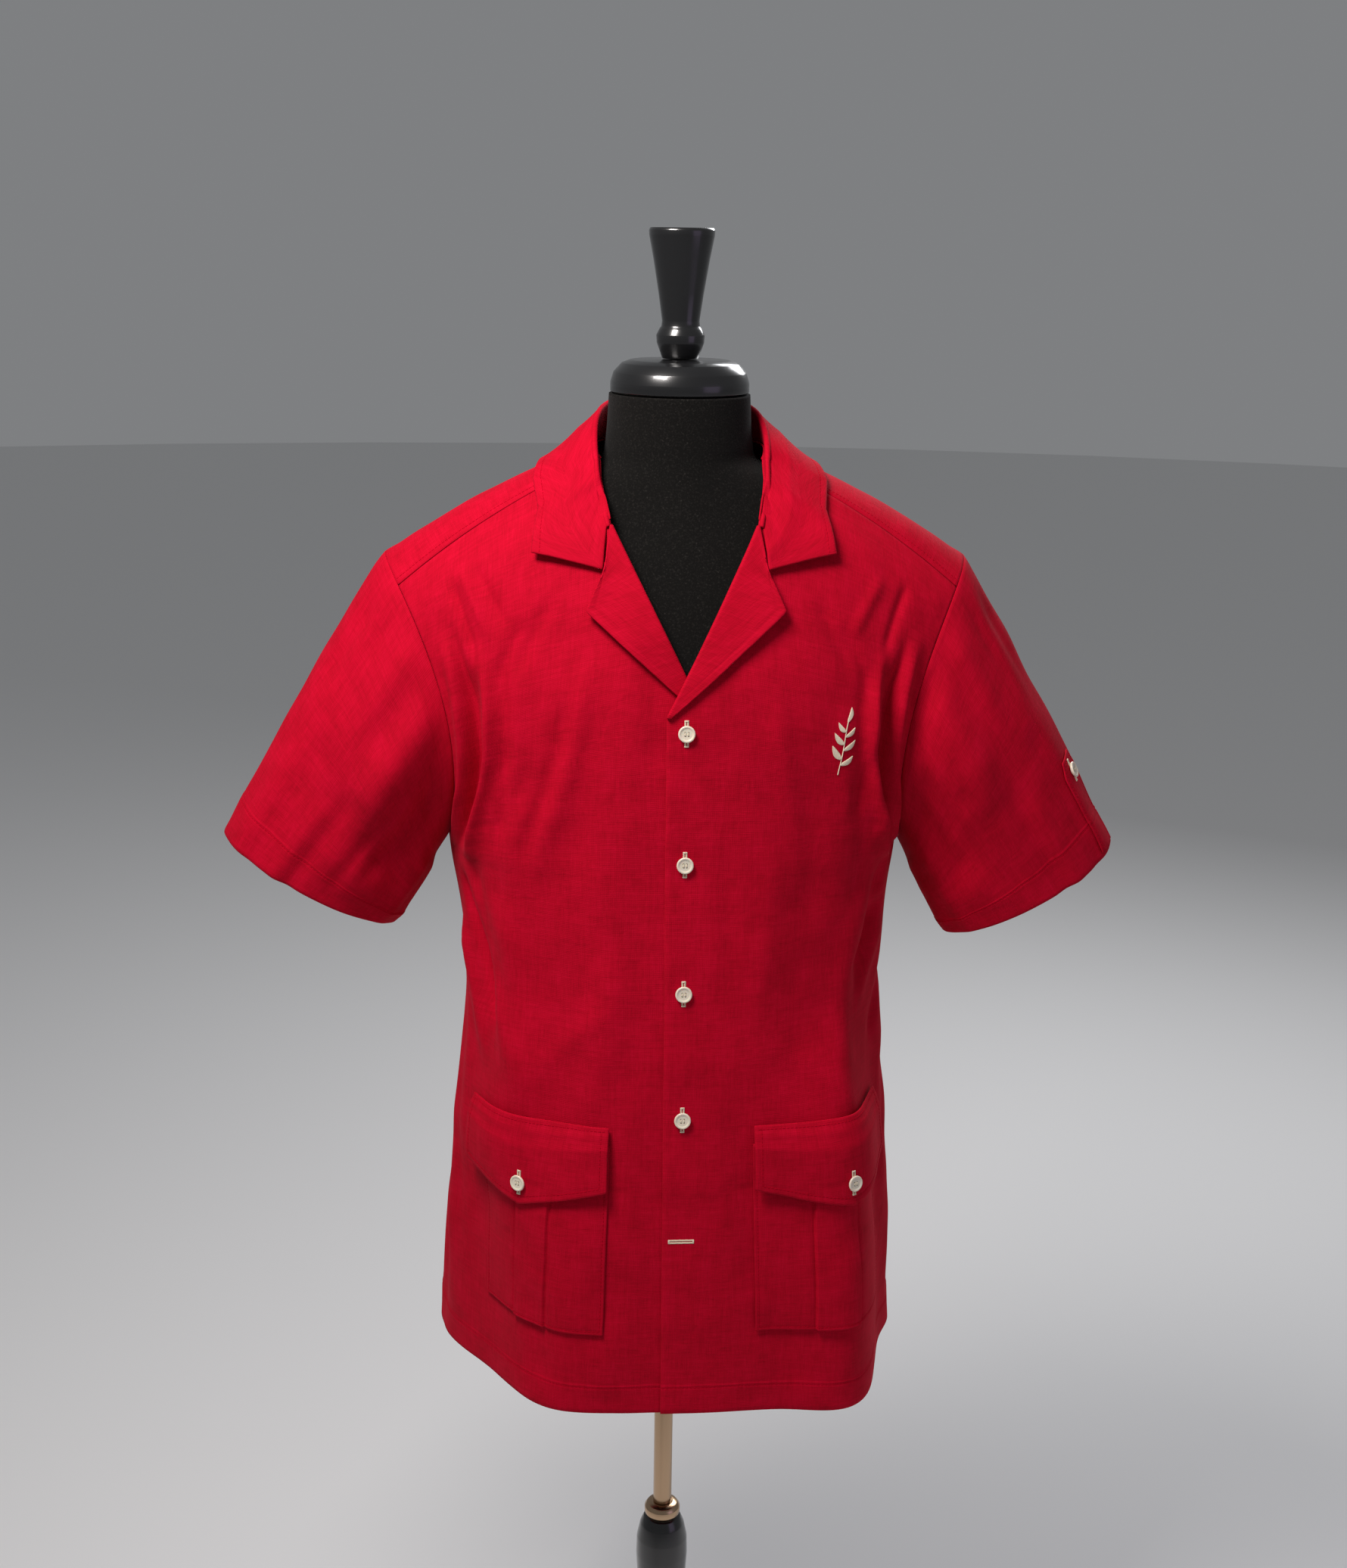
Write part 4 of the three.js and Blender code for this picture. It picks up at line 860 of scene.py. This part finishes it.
def form_mesh():
    low, high = FORM_SECTIONS["z"][[0, -1]]
    heights = stepped((low, 722, 6), (722, 1320, 90), (1320, high, 90))
    angles = np.linspace(0, 2 * np.pi, 160, endpoint=False)
    sine, cosine = np.sin(angles)[None], np.cos(angles)[None]
    half, front, back, power = (between(FORM_SECTIONS, "z", key, heights)[:, None]
                                for key in ("half", "front", "back", "power"))
    size = (np.abs(sine) ** power + np.abs(cosine) ** power) ** (-1 / power)
    x = half * size * sine
    y = -np.where(cosine > 0, front, back) * size * cosine
    verts = points(x, y, heights[:, None]).reshape(-1, 3)
    faces = ring_faces(len(heights), len(angles))
    count = len(angles)
    last = (len(heights) - 1) * count
    middles = [[0, 0, heights[0]], [0, 0, heights[-1]]]
    under, over = len(verts), len(verts) + 1
    number = np.arange(count)
    after = np.roll(number, -1)
    caps = [[under, after[i], number[i], number[i]] for i in range(count)]
    caps += [[over, last + number[i], last + after[i], last + after[i]] for i in range(count)]
    return mesh_from("form_body", np.concatenate([verts, middles]) * MM, np.concatenate([faces, caps]))


class Nodes:
    """Adds and joins the nodes of one material."""

    def __init__(self, name, **shader):
        self.material = bpy.data.materials.new(name)
        self.material.use_nodes = True
        self.tree = self.material.node_tree
        self.shader = self.tree.nodes["Principled BSDF"]
        for key, value in shader.items():
            self.shader.inputs[key.replace("_", " ")].default_value = value

    def add(self, kind, inputs=None, **settings):
        node = self.tree.nodes.new("ShaderNode" + kind)
        for key, value in settings.items():
            setattr(node, key, value)
        for key, value in (inputs or {}).items():
            if isinstance(value, bpy.types.NodeSocket):
                self.tree.links.new(value, node.inputs[key])
            else:
                node.inputs[key].default_value = value
        return node

    def sum(self, first, second):
        return self.add("Math", {0: first, 1: second}, operation="ADD").outputs[0]

    def times(self, first, second):
        return self.add("Math", {0: first, 1: second}, operation="MULTIPLY").outputs[0]

    def noise(self, place, scale, detail, **inputs):
        inputs = {"Vector": place, "Scale": scale, "Detail": detail, **inputs}
        return self.add("TexNoise", inputs).outputs["Fac"]

    def bump(self, height, strength, distance, **inputs):
        inputs = {"Height": height, "Strength": strength, "Distance": distance, **inputs}
        return self.add("Bump", inputs).outputs[0]

    def ramp(self, factor, *stops):
        node = self.add("ValToRGB", {0: factor})
        ramp = node.color_ramp
        while len(ramp.elements) < len(stops):
            ramp.elements.new(0.5)
        for element, (spot, colour) in zip(ramp.elements, stops):
            element.position = spot
            element.color = (*colour, 1)
        return node.outputs[0]

    def link(self, output, key):
        self.tree.links.new(output, self.shader.inputs[key])


CLOTH_RED = (0.47, 0.0004, 0.016)
CLOTH_DARK = (0.34, 0.0002, 0.010)
CLOTH_LIGHT = (0.58, 0.0015, 0.026)
JERSEY_DARK = (0.005, 0.0046, 0.0042)
JERSEY_FIBRE = (0.011, 0.010, 0.009)
JERSEY_LINT = (0.034, 0.031, 0.028)


def linen(name):
    """Red linen-cotton, with a plain weave, thicker slub threads and a soft nap."""
    nodes = Nodes(name, Roughness=0.85, Sheen_Weight=0.1, Sheen_Roughness=0.45, Sheen_Tint=(1, 0.06, 0.12, 1),
                  Specular_IOR_Level=0.08)
    place = nodes.add("UVMap", uv_map="cloth").outputs[0]
    yarn = {"Vector": place, "Scale": 330.0, "Distortion": 1.1, "Detail": 1.0, "Detail Scale": 0.6}
    waves = [nodes.add("TexWave", yarn, wave_type="BANDS", bands_direction=way) for way in "XY"]
    weave = nodes.sum(*(wave.outputs["Fac"] for wave in waves))
    slubs = []
    for size in ((90, 1500, 1), (1500, 90, 1), (26, 380, 1), (380, 26, 1)):
        drawn = nodes.add("Mapping", {"Vector": place, "Scale": size}).outputs[0]
        slubs.append(nodes.noise(drawn, 1.0, 2.0))
    coarse = nodes.times(nodes.sum(slubs[2], slubs[3]), 0.7)
    slub = nodes.sum(nodes.sum(slubs[0], slubs[1]), coarse)
    tone = nodes.sum(nodes.times(slub, 0.22), nodes.times(nodes.noise(place, 42.0, 4.0), 0.24))
    tone = nodes.sum(tone, nodes.times(weave, 0.06))
    colour = nodes.ramp(tone, (0.42, CLOTH_DARK), (0.56, CLOTH_RED), (0.71, CLOTH_LIGHT))
    nodes.link(colour, "Base Color")
    fine = nodes.bump(nodes.sum(nodes.times(weave, 0.5), nodes.times(slub, 0.9)), 0.5, 0.00022)
    creases = nodes.noise(place, 55.0, 3.0, Distortion=0.6)
    nodes.link(nodes.bump(creases, 0.35, 0.0016, Normal=fine), "Normal")
    return nodes.material


def plain(name, colour, **shader):
    return Nodes(name, Base_Color=(*colour, 1), **shader).material


def jersey():
    """Black knitted cotton with a little lint."""
    nodes = Nodes("jersey", Base_Color=(0.0062, 0.0056, 0.0052, 1), Roughness=0.95, Sheen_Weight=0.04,
                  Sheen_Roughness=0.5, Specular_IOR_Level=0.08)
    place = nodes.add("TexCoord").outputs["Object"]
    lint = nodes.noise(place, 620.0, 3.0, Roughness=0.7)
    colour = nodes.ramp(lint, (0.5, JERSEY_DARK), (0.64, JERSEY_FIBRE), (0.78, JERSEY_LINT))
    nodes.link(colour, "Base Color")
    nodes.link(nodes.bump(nodes.noise(place, 900.0, 2.0), 0.5, 0.0004), "Normal")
    return nodes.material


CLOTH_MATERIAL = linen("red_linen")
BUTTON_MATERIAL = plain("ivory_button", (0.80, 0.72, 0.58), Roughness=0.28, Coat_Weight=0.3,
                        Subsurface_Weight=0.15, Subsurface_Scale=0.002)
# Dark brown for the discs on the buttons' holes: painted shade in place of the hollows of the holes
HOLE_PAINTED_SHADE = plain("button_hole_painted_shade", (0.10, 0.07, 0.04), Roughness=0.7)
THREAD_RED = plain("red_thread", (0.42, 0.0004, 0.013), Roughness=0.85, Specular_IOR_Level=0.04)
THREAD_IVORY = plain("ivory_thread", (0.80, 0.70, 0.52), Roughness=0.6, Sheen_Weight=0.2)
JERSEY = jersey()
GLOSS = plain("black_lacquer", (0.006, 0.006, 0.0065), Roughness=0.26, Coat_Weight=0.5, Coat_Roughness=0.12)
METAL = plain("bronze", (0.48, 0.33, 0.21), Roughness=0.24, Metallic=1.0, Anisotropic=0.4)


class Line:
    """A line of sewing on a grid, through places given as fractional rows and columns."""

    def __init__(self, grid, rows, columns):
        place = grid.place
        normal = unit(np.cross(np.gradient(place, axis=1), np.gradient(place, axis=0)))
        rows, columns = broadcast(rows, columns)
        row = np.clip(rows.astype(int), 0, place.shape[0] - 2)
        column = np.clip(columns.astype(int), 0, place.shape[1] - 2)
        down = (rows - row)[:, None]
        over = (columns - column)[:, None]
        self.place, self.normal = (
            mix(mix(values[row, column], values[row, column + 1], over),
                mix(values[row + 1, column], values[row + 1, column + 1], over), down)
            for values in (place, normal))

    def every(self, step):
        """Evenly spaced places along the line, with their directions and normals."""
        run = np.linalg.norm(np.diff(self.place, axis=0, prepend=self.place[:1]), axis=-1).cumsum()
        spots = np.arange(step / 2, run[-1], step)

        def at(distance, values):
            return np.stack([np.interp(distance, run, values[:, i]) for i in range(3)], -1)

        along = unit(at(spots + 0.3, self.place) - at(spots - 0.3, self.place))
        return at(spots, self.place), along, unit(at(spots, self.normal))


def row_at(grid, height):
    return np.interp(height, grid.cloth[:, -1, 1], np.arange(grid.cloth.shape[0]))


def inset_columns(grid, distance, from_start):
    """For each row, the fractional column that lies at a distance from one of its ends."""
    place = grid.place if from_start else grid.place[:, ::-1]
    last = place.shape[1] - 1
    columns = np.array([np.interp(distance, row, np.arange(last + 1)) for row in run_length(place)])
    return columns if from_start else last - columns


THREAD_SIDES = 6
STITCH = dict(step=3.3, length=2.5, width=0.55, height=0.34)


def threads(place, along, normal, length, width, height):
    """Rounded stitches: half sunk into the cloth, each along its own direction."""
    ends = np.array([(-0.5, 0.35), (-0.38, 1), (0.38, 1), (0.5, 0.35)])
    angles = np.arange(THREAD_SIDES) * 2 * np.pi / THREAD_SIDES
    across = np.cross(normal, along)
    length = np.broadcast_to(length, place.shape[:1])[:, None, None, None]
    ring = (across[:, None, None] * np.cos(angles)[:, None] * width / 2
            + normal[:, None, None] * np.sin(angles)[:, None] * height)
    verts = (place[:, None, None] + along[:, None, None] * ends[None, :, :1, None] * length
             + ring * ends[None, :, 1:, None])
    one = ring_faces(len(ends), THREAD_SIDES)
    caps = np.array([[0, 3, 2, 1], [0, 5, 4, 3], [18, 19, 20, 21], [18, 21, 22, 23]])
    one = np.concatenate([one, caps])
    offset = np.arange(len(place))[:, None, None] * len(ends) * THREAD_SIDES
    return verts.reshape(-1, 3), (one[None] + offset).reshape(-1, 4)


def joined(parts):
    verts = []
    faces = []
    count = 0
    for part_verts, part_faces in parts:
        verts.append(part_verts)
        faces.append(part_faces + count)
        count += len(part_verts)
    return np.concatenate(verts), np.concatenate(faces)


def facing(verts, faces, mirror):
    return (verts * [-1, 1, 1], faces[:, ::-1]) if mirror else (verts, faces)


def thread_piece(name, parts, material, mirror=False):
    verts, faces = facing(*joined(parts), mirror)
    return show(name, mesh_from(name, verts * MM, faces), material)


def sewn(line):
    return threads(*line.every(STITCH["step"]), STITCH["length"], STITCH["width"], STITCH["height"])


BUTTONHOLE = dict(length=20, step=0.62, reach=1.5, off=1.05, width=0.62, height=0.42)


def buttonhole(at, up, normal):
    """Close stitches on both sides of a slit, with a bar across each end."""
    length = BUTTONHOLE["length"]
    across = unit(np.cross(up, normal))
    spots = np.arange(-length / 2, length / 2, BUTTONHOLE["step"])[:, None]
    parts = []
    for side in (-1, 1):
        place = at + up * spots + across * side * BUTTONHOLE["off"]
        wobble = unit(across + up * 0.25 * side * np.sin(spots * 9))
        parts.append(threads(place, wobble, np.tile(normal, (len(place), 1)), BUTTONHOLE["reach"],
                             BUTTONHOLE["width"], BUTTONHOLE["height"]))
    bars = np.array([-length / 2 - 0.3, -length / 2 + 0.3, length / 2 - 0.3, length / 2 + 0.3])[:, None]
    bar_place = at + up * bars + normal * 0.1
    parts.append(threads(bar_place, np.tile(across, (4, 1)), np.tile(normal, (4, 1)), 3.6, 0.75, 0.5))
    return joined(parts)


# The button seen from its back upwards: a rounded rim round a dished middle
BUTTON_PROFILE = [
    (0, 0), (4.6, 0), (5.9, 0.5), (6.7, 1.5), (6.8, 2.1), (6.5, 2.8), (5.9, 3), (5.2, 2.85), (4.7, 2.45),
    (4.1, 2.3), (0, 2.25)]
HOLE_AT = 1.25


def button_parts(at, up, normal):
    across = unit(np.cross(up, normal))
    turn = np.stack([across, up, normal], 0)
    verts, faces = turned(BUTTON_PROFILE, 40)
    corners = np.array([(x, y) for x in (-1, 1) for y in (-1, 1)]) * HOLE_AT
    # The four holes are thin dark discs on the button's face: painted shade, as the button itself has no
    # hollows
    hole_shades = [(turned([(0, 2.2), (0.72, 2.2), (0.72, 2.32), (0, 2.32)], 12), corner) for corner in corners]
    hole_parts = [((v + [*corner, 0]) @ turn + at, f) for (v, f), corner in hole_shades]
    rows = np.array([(x * HOLE_AT, 0, 2.5) for x in (-1, -0.75, 0.75, 1)]) @ turn + at
    thread = threads(rows, np.tile(up, (4, 1)), np.tile(normal, (4, 1)), 2.9, 0.62, 0.3)
    return (verts @ turn + at, faces), joined(hole_parts), thread


# An embroidered sprig: leaves by place on the stem, side, length and width
LEAVES = table(
    "spot side length width",
    (0.18, 1, 13, 5.2), (0.3, -1, 13.5, 5.4), (0.46, 1, 13, 5), (0.58, -1, 12.5, 4.8), (0.72, 1, 11, 4.4),
    (0.82, -1, 10, 4), (1.0, 0, 12, 4.6))
SPRIG = dict(x=126, z=1204, height=42, lean=9, step=0.55)


def sprig_parts(front):
    """Satin stitches that follow the cloth, laid in the plane of x and z and then dropped on the front."""
    flat = []

    def stem(spot):
        sway = SPRIG["lean"] * (spot ** 1.6 - 0.5) + 2.2 * np.sin(spot * 4)
        return np.array([sway, SPRIG["height"] * (spot - 0.5)])

    for spot in np.linspace(-0.12, 1, 60):
        flat.append((stem(spot), stem(spot + 0.02) - stem(spot), 1.5))
    for spot, side, length, width in zip(*LEAVES.values()):
        root = stem(spot)
        grow = unit(stem(spot + 0.01) - root)
        sideways = np.array([grow[1], -grow[0]]) * side
        axis = unit(grow * 0.75 + sideways * 0.75) if side else grow
        cross = np.array([axis[1], -axis[0]])
        for t in np.arange(0.06, 1, SPRIG["step"] / length):
            half = width * np.sin(np.pi * t ** 0.8) ** 0.8
            bend = cross * 1.2 * np.sin(np.pi * t) * (side or 1)
            flat.append((root + axis * length * t + bend, cross + axis * 0.45, half))
    middle = np.array([SPRIG["x"], SPRIG["z"]])
    start = locate(*middle)
    step = locate(*(middle + [1, 0])) - start, locate(*(middle + [0, 1])) - start
    centres = np.array([item[0] for item in flat])
    ways = unit(np.array([item[1] for item in flat]))
    lengths = np.array([item[2] for item in flat])
    spot = start + centres[:, :1] * step[0] + centres[:, 1:] * step[1]
    ahead = spot + ways[:, :1] * step[0] + ways[:, 1:] * step[1]
    place = front.point(spot[:, 0], spot[:, 1], 0.12)
    along = unit(front.point(ahead[:, 0], ahead[:, 1], 0.12) - place)
    return threads(place, along, front.normal(spot[:, 0], spot[:, 1]), lengths, 0.85, 0.45)


def cloth_piece(node, grids, thickness=CLOTH, mirror=False, *, lines):
    """A piece of cloth with its topstitching."""
    placed = [grid.mirrored() if mirror else grid for grid in grids]
    piece = show(node + "_cloth", cloth_wall(node, placed, thickness), CLOTH_MATERIAL, (node,))
    stitches = [sewn(line) for line in lines]
    sewing = thread_piece(node + "_stitches", stitches, THREAD_RED, mirror)


def hem_line(grid):
    return Line(grid, row_at(grid, HEM_STITCH), np.arange(grid.place.shape[1]))


def lapel_line(grid):
    rows = np.arange(8, grid.place.shape[0])
    return Line(grid, rows, inset_columns(grid, 6, True)[8:])


def border_lines(grid, row, column, sides_end, low_end):
    """Topstitching down both sides and along the low end, which stop short of the last row and column."""
    last_row, last_column = (n - 1 for n in grid.place.shape[:2])
    rows = np.arange(row, last_row - sides_end)
    return [Line(grid, rows, column), Line(grid, rows, last_column - column),
            Line(grid, row, np.arange(column, last_column - low_end))]


for front in (front_left, front_right):
    left = front.side > 0
    side = "left" if left else "right"
    grids = front_grids(front)
    cloth_piece("front_" + side, grids, mirror=not left,
                lines=(hem_line(grids[0]), lapel_line(grids[1])))
    sleeve = sleeve_grid(front.side)
    sleeve_row = np.interp((SLEEVE_BAND + 0.009) * -SLEEVE_LENGTH, sleeve.cloth[::-1, 0, 1],
                           np.arange(sleeve.place.shape[0])[::-1])
    cloth_piece("sleeve_" + side, [sleeve], mirror=not left,
                lines=(Line(sleeve, sleeve_row, np.arange(sleeve.place.shape[1])),))
    pocket = pocket_grid(front)
    rows, columns = pocket.place.shape[:2]
    low_row = np.interp(2.5, pocket.cloth[:, 0, 1] - POCKET["bottom"], np.arange(rows))
    in_column = np.interp(2.5, run_length(pocket.place)[30], np.arange(columns))
    cloth_piece("pocket_" + side, [pocket],
                mirror=not left, lines=border_lines(pocket, low_row, in_column, 0, in_column))
    flap = flap_grid(front)
    rows, columns = flap.place.shape[:2]
    top_line = Line(flap, rows - 3, np.arange(1, columns - 2))
    cloth_piece("flap_" + side, [flap], mirror=not left,
                lines=border_lines(flap, 3.2, 2.3, 1, 2) + [top_line])
    tab = tab_grid(front.side)
    cloth_piece("sleeve_tab_" + side, [tab],
                mirror=not left, lines=border_lines(tab, 2, 2, 0, 1))

backs = back_grids()
yokes = yoke_grids()
collars = collar_grids()

cloth_piece("back", backs, lines=[hem_line(grid) for grid in backs])
YOKE_STITCH = 5
yoke_lines = []
for grid in yokes:
    rows = grid.place.shape[0]
    for from_start in (True, False):
        down = run_length(np.swapaxes(grid.place if from_start else grid.place[::-1], 0, 1))
        spots = np.array([np.interp(YOKE_STITCH, column, np.arange(rows)) for column in down])
        yoke_lines.append(Line(grid, spots if from_start else rows - 1 - spots, np.arange(len(spots))))
cloth_piece("yoke", yokes, lines=yoke_lines)
collar_lines = []
for index, grid in enumerate(collars):
    columns = inset_columns(grid, 6, index == 1)[2:]
    collar_lines.append(Line(grid, np.arange(2, grid.place.shape[0] - 0.5), columns))
cloth_piece("collar", collars,
            COLLAR_CLOTH, lines=collar_lines)

# Buttons with their thread, and the buttonholes: the lowest one lies across, and holds no button
fastenings = []
for index in range(FRONT_BUTTONS):
    height = FIRST_BUTTON - index * BUTTON_STEP
    normal = front_left.normal(np.array(CENTRE_SHARE), height)
    normal = unit(normal * [0, 1, 1])
    fastenings.append((f"front_{index + 1}", front_left.point(0, height, 0), points(0, 0, 1), normal, False))
flap_middle = sum(locate(FLAP[end], FLAP["middle"])[0] for end in ("inner", "outer")) / 2
for front in (front_left, front_right):
    side = "left" if front.side > 0 else "right"
    normal = front.normal(np.array(flap_middle), FLAP_BUTTON_HEIGHT)
    at = front.point(flap_middle, FLAP_BUTTON_HEIGHT, FLAP["lift"] + FLAP["stand"])
    fastenings.append(("pocket_" + side, at, points(0, 0, 1), normal, front.side < 0))
    spot = (TAB_ANGLE[front.side], TAB["button"])
    places = (np.array(value) for value in spot)
    normal = outward(lambda a, b: sleeve_point(a, b, 0, front.side), *places, 0.05, 0.02, 1)
    at = sleeve_point(*spot, LAYER_GAP + CLOTH, front.side)
    up = sleeve_point(spot[0], spot[1] - 0.05, 0, front.side) - sleeve_point(*spot, 0, front.side)
    fastenings.append(("tab_" + side, at, up, normal, front.side < 0))
for name, at, up, normal, mirror in fastenings:
    up = unit(up - normal * up.dot(normal))
    node = "button_" + name
    body, hole_shades, thread = button_parts(at + normal * BUTTON_GAP, up, normal)
    verts, faces = facing(*body, mirror)
    show(node + "_turned", mesh_from(node, verts * MM, faces), BUTTON_MATERIAL, (node,))
    thread_piece(node + "_holes", [hole_shades], HOLE_PAINTED_SHADE, mirror)
    thread_piece(node + "_thread", [thread], THREAD_IVORY, mirror)
    hole = buttonhole(at + normal * 0.1, up, normal)
    thread_piece("buttonhole_" + name, [hole], THREAD_IVORY, mirror)
normal = unit(front_left.normal(np.array(CENTRE_SHARE), EMPTY_HOLE) * [0, 1, 1])
hole = buttonhole(front_left.point(0, EMPTY_HOLE, 0.1), points(1, 0, 0), normal)
thread_piece("buttonhole_hem", [hole], THREAD_IVORY)
thread_piece("chest_sprig", [sprig_parts(front_left)], THREAD_IVORY)


def stand_piece(node, mesh, material):
    show(node + "_skin", mesh, material, (node,))


stand_piece("form_body", form_mesh(), JERSEY)
for node, profile, material, slot, sides in (
        ("neck_cap", CAP_PROFILE, GLOSS, "gloss", 96), ("finial", FINIAL_PROFILE, GLOSS, "gloss", 96),
        ("pole", POLE_PROFILE, METAL, "metal", 96), ("pole_ring", RING_PROFILE, METAL, "metal", 96),
        ("pole_hub", HUB_PROFILE, GLOSS, "gloss", 96), ("base", BASE_PROFILE, GLOSS, "gloss", 144)):
    verts, faces = turned(profile, sides)
    stand_piece(node, mesh_from(node, verts * MM, faces), material)

# The room: a wide pale floor, a soft lamp above the viewer's left, a weak fill and a light from behind
FLOOR_RADIUS = 14
FLOOR_CORNERS = 64
angles = np.arange(FLOOR_CORNERS) * 2 * np.pi / FLOOR_CORNERS
corners = points(FLOOR_RADIUS * np.cos(angles), FLOOR_RADIUS * np.sin(angles), -0.001).tolist()
floor_mesh = bpy.data.meshes.new("floor")
floor_mesh.from_pydata(corners, [], [list(range(FLOOR_CORNERS))])
floor = bpy.data.objects.new("floor", floor_mesh)
bpy.context.scene.collection.objects.link(floor)
floor_mesh.materials.append(plain("pale_floor", (0.82, 0.82, 0.82), Roughness=0.9, Specular_IOR_Level=0.1))


def soft_light(name, place, target, size, watts, colour):
    light = bpy.data.lights.new(name, "AREA")
    light.shape = "RECTANGLE"
    light.size, light.size_y = size
    light.energy = watts
    light.color = colour
    lamp = bpy.data.objects.new(name, light)
    lamp.location = place
    lamp.rotation_euler = (Vector(target) - Vector(place)).to_track_quat("-Z", "Y").to_euler()
    bpy.context.scene.collection.objects.link(lamp)


soft_light("window", (-0.55, -0.62, 2.32), (0, 0, 1.3), (0.45, 0.45), 25, (1, 0.95, 0.92))
soft_light("fill", (2.4, -2.0, 1.5), (0, 0, 1.0), (1.6, 1.8), 5, (0.8, 0.62, 1))
soft_light("behind", (1.3, 2.3, 2.6), (0, 0, 1.15), (1.2, 1.2), 40, (0.97, 0.98, 1))
world = bpy.data.worlds.new("room")
world.use_nodes = True
background = world.node_tree.nodes["Background"]
background.inputs["Color"].default_value = (0.95, 0.97, 1, 1)
background.inputs["Strength"].default_value = 0.22
bpy.context.scene.world = world
bpy.context.scene.view_settings.view_transform = "Standard"
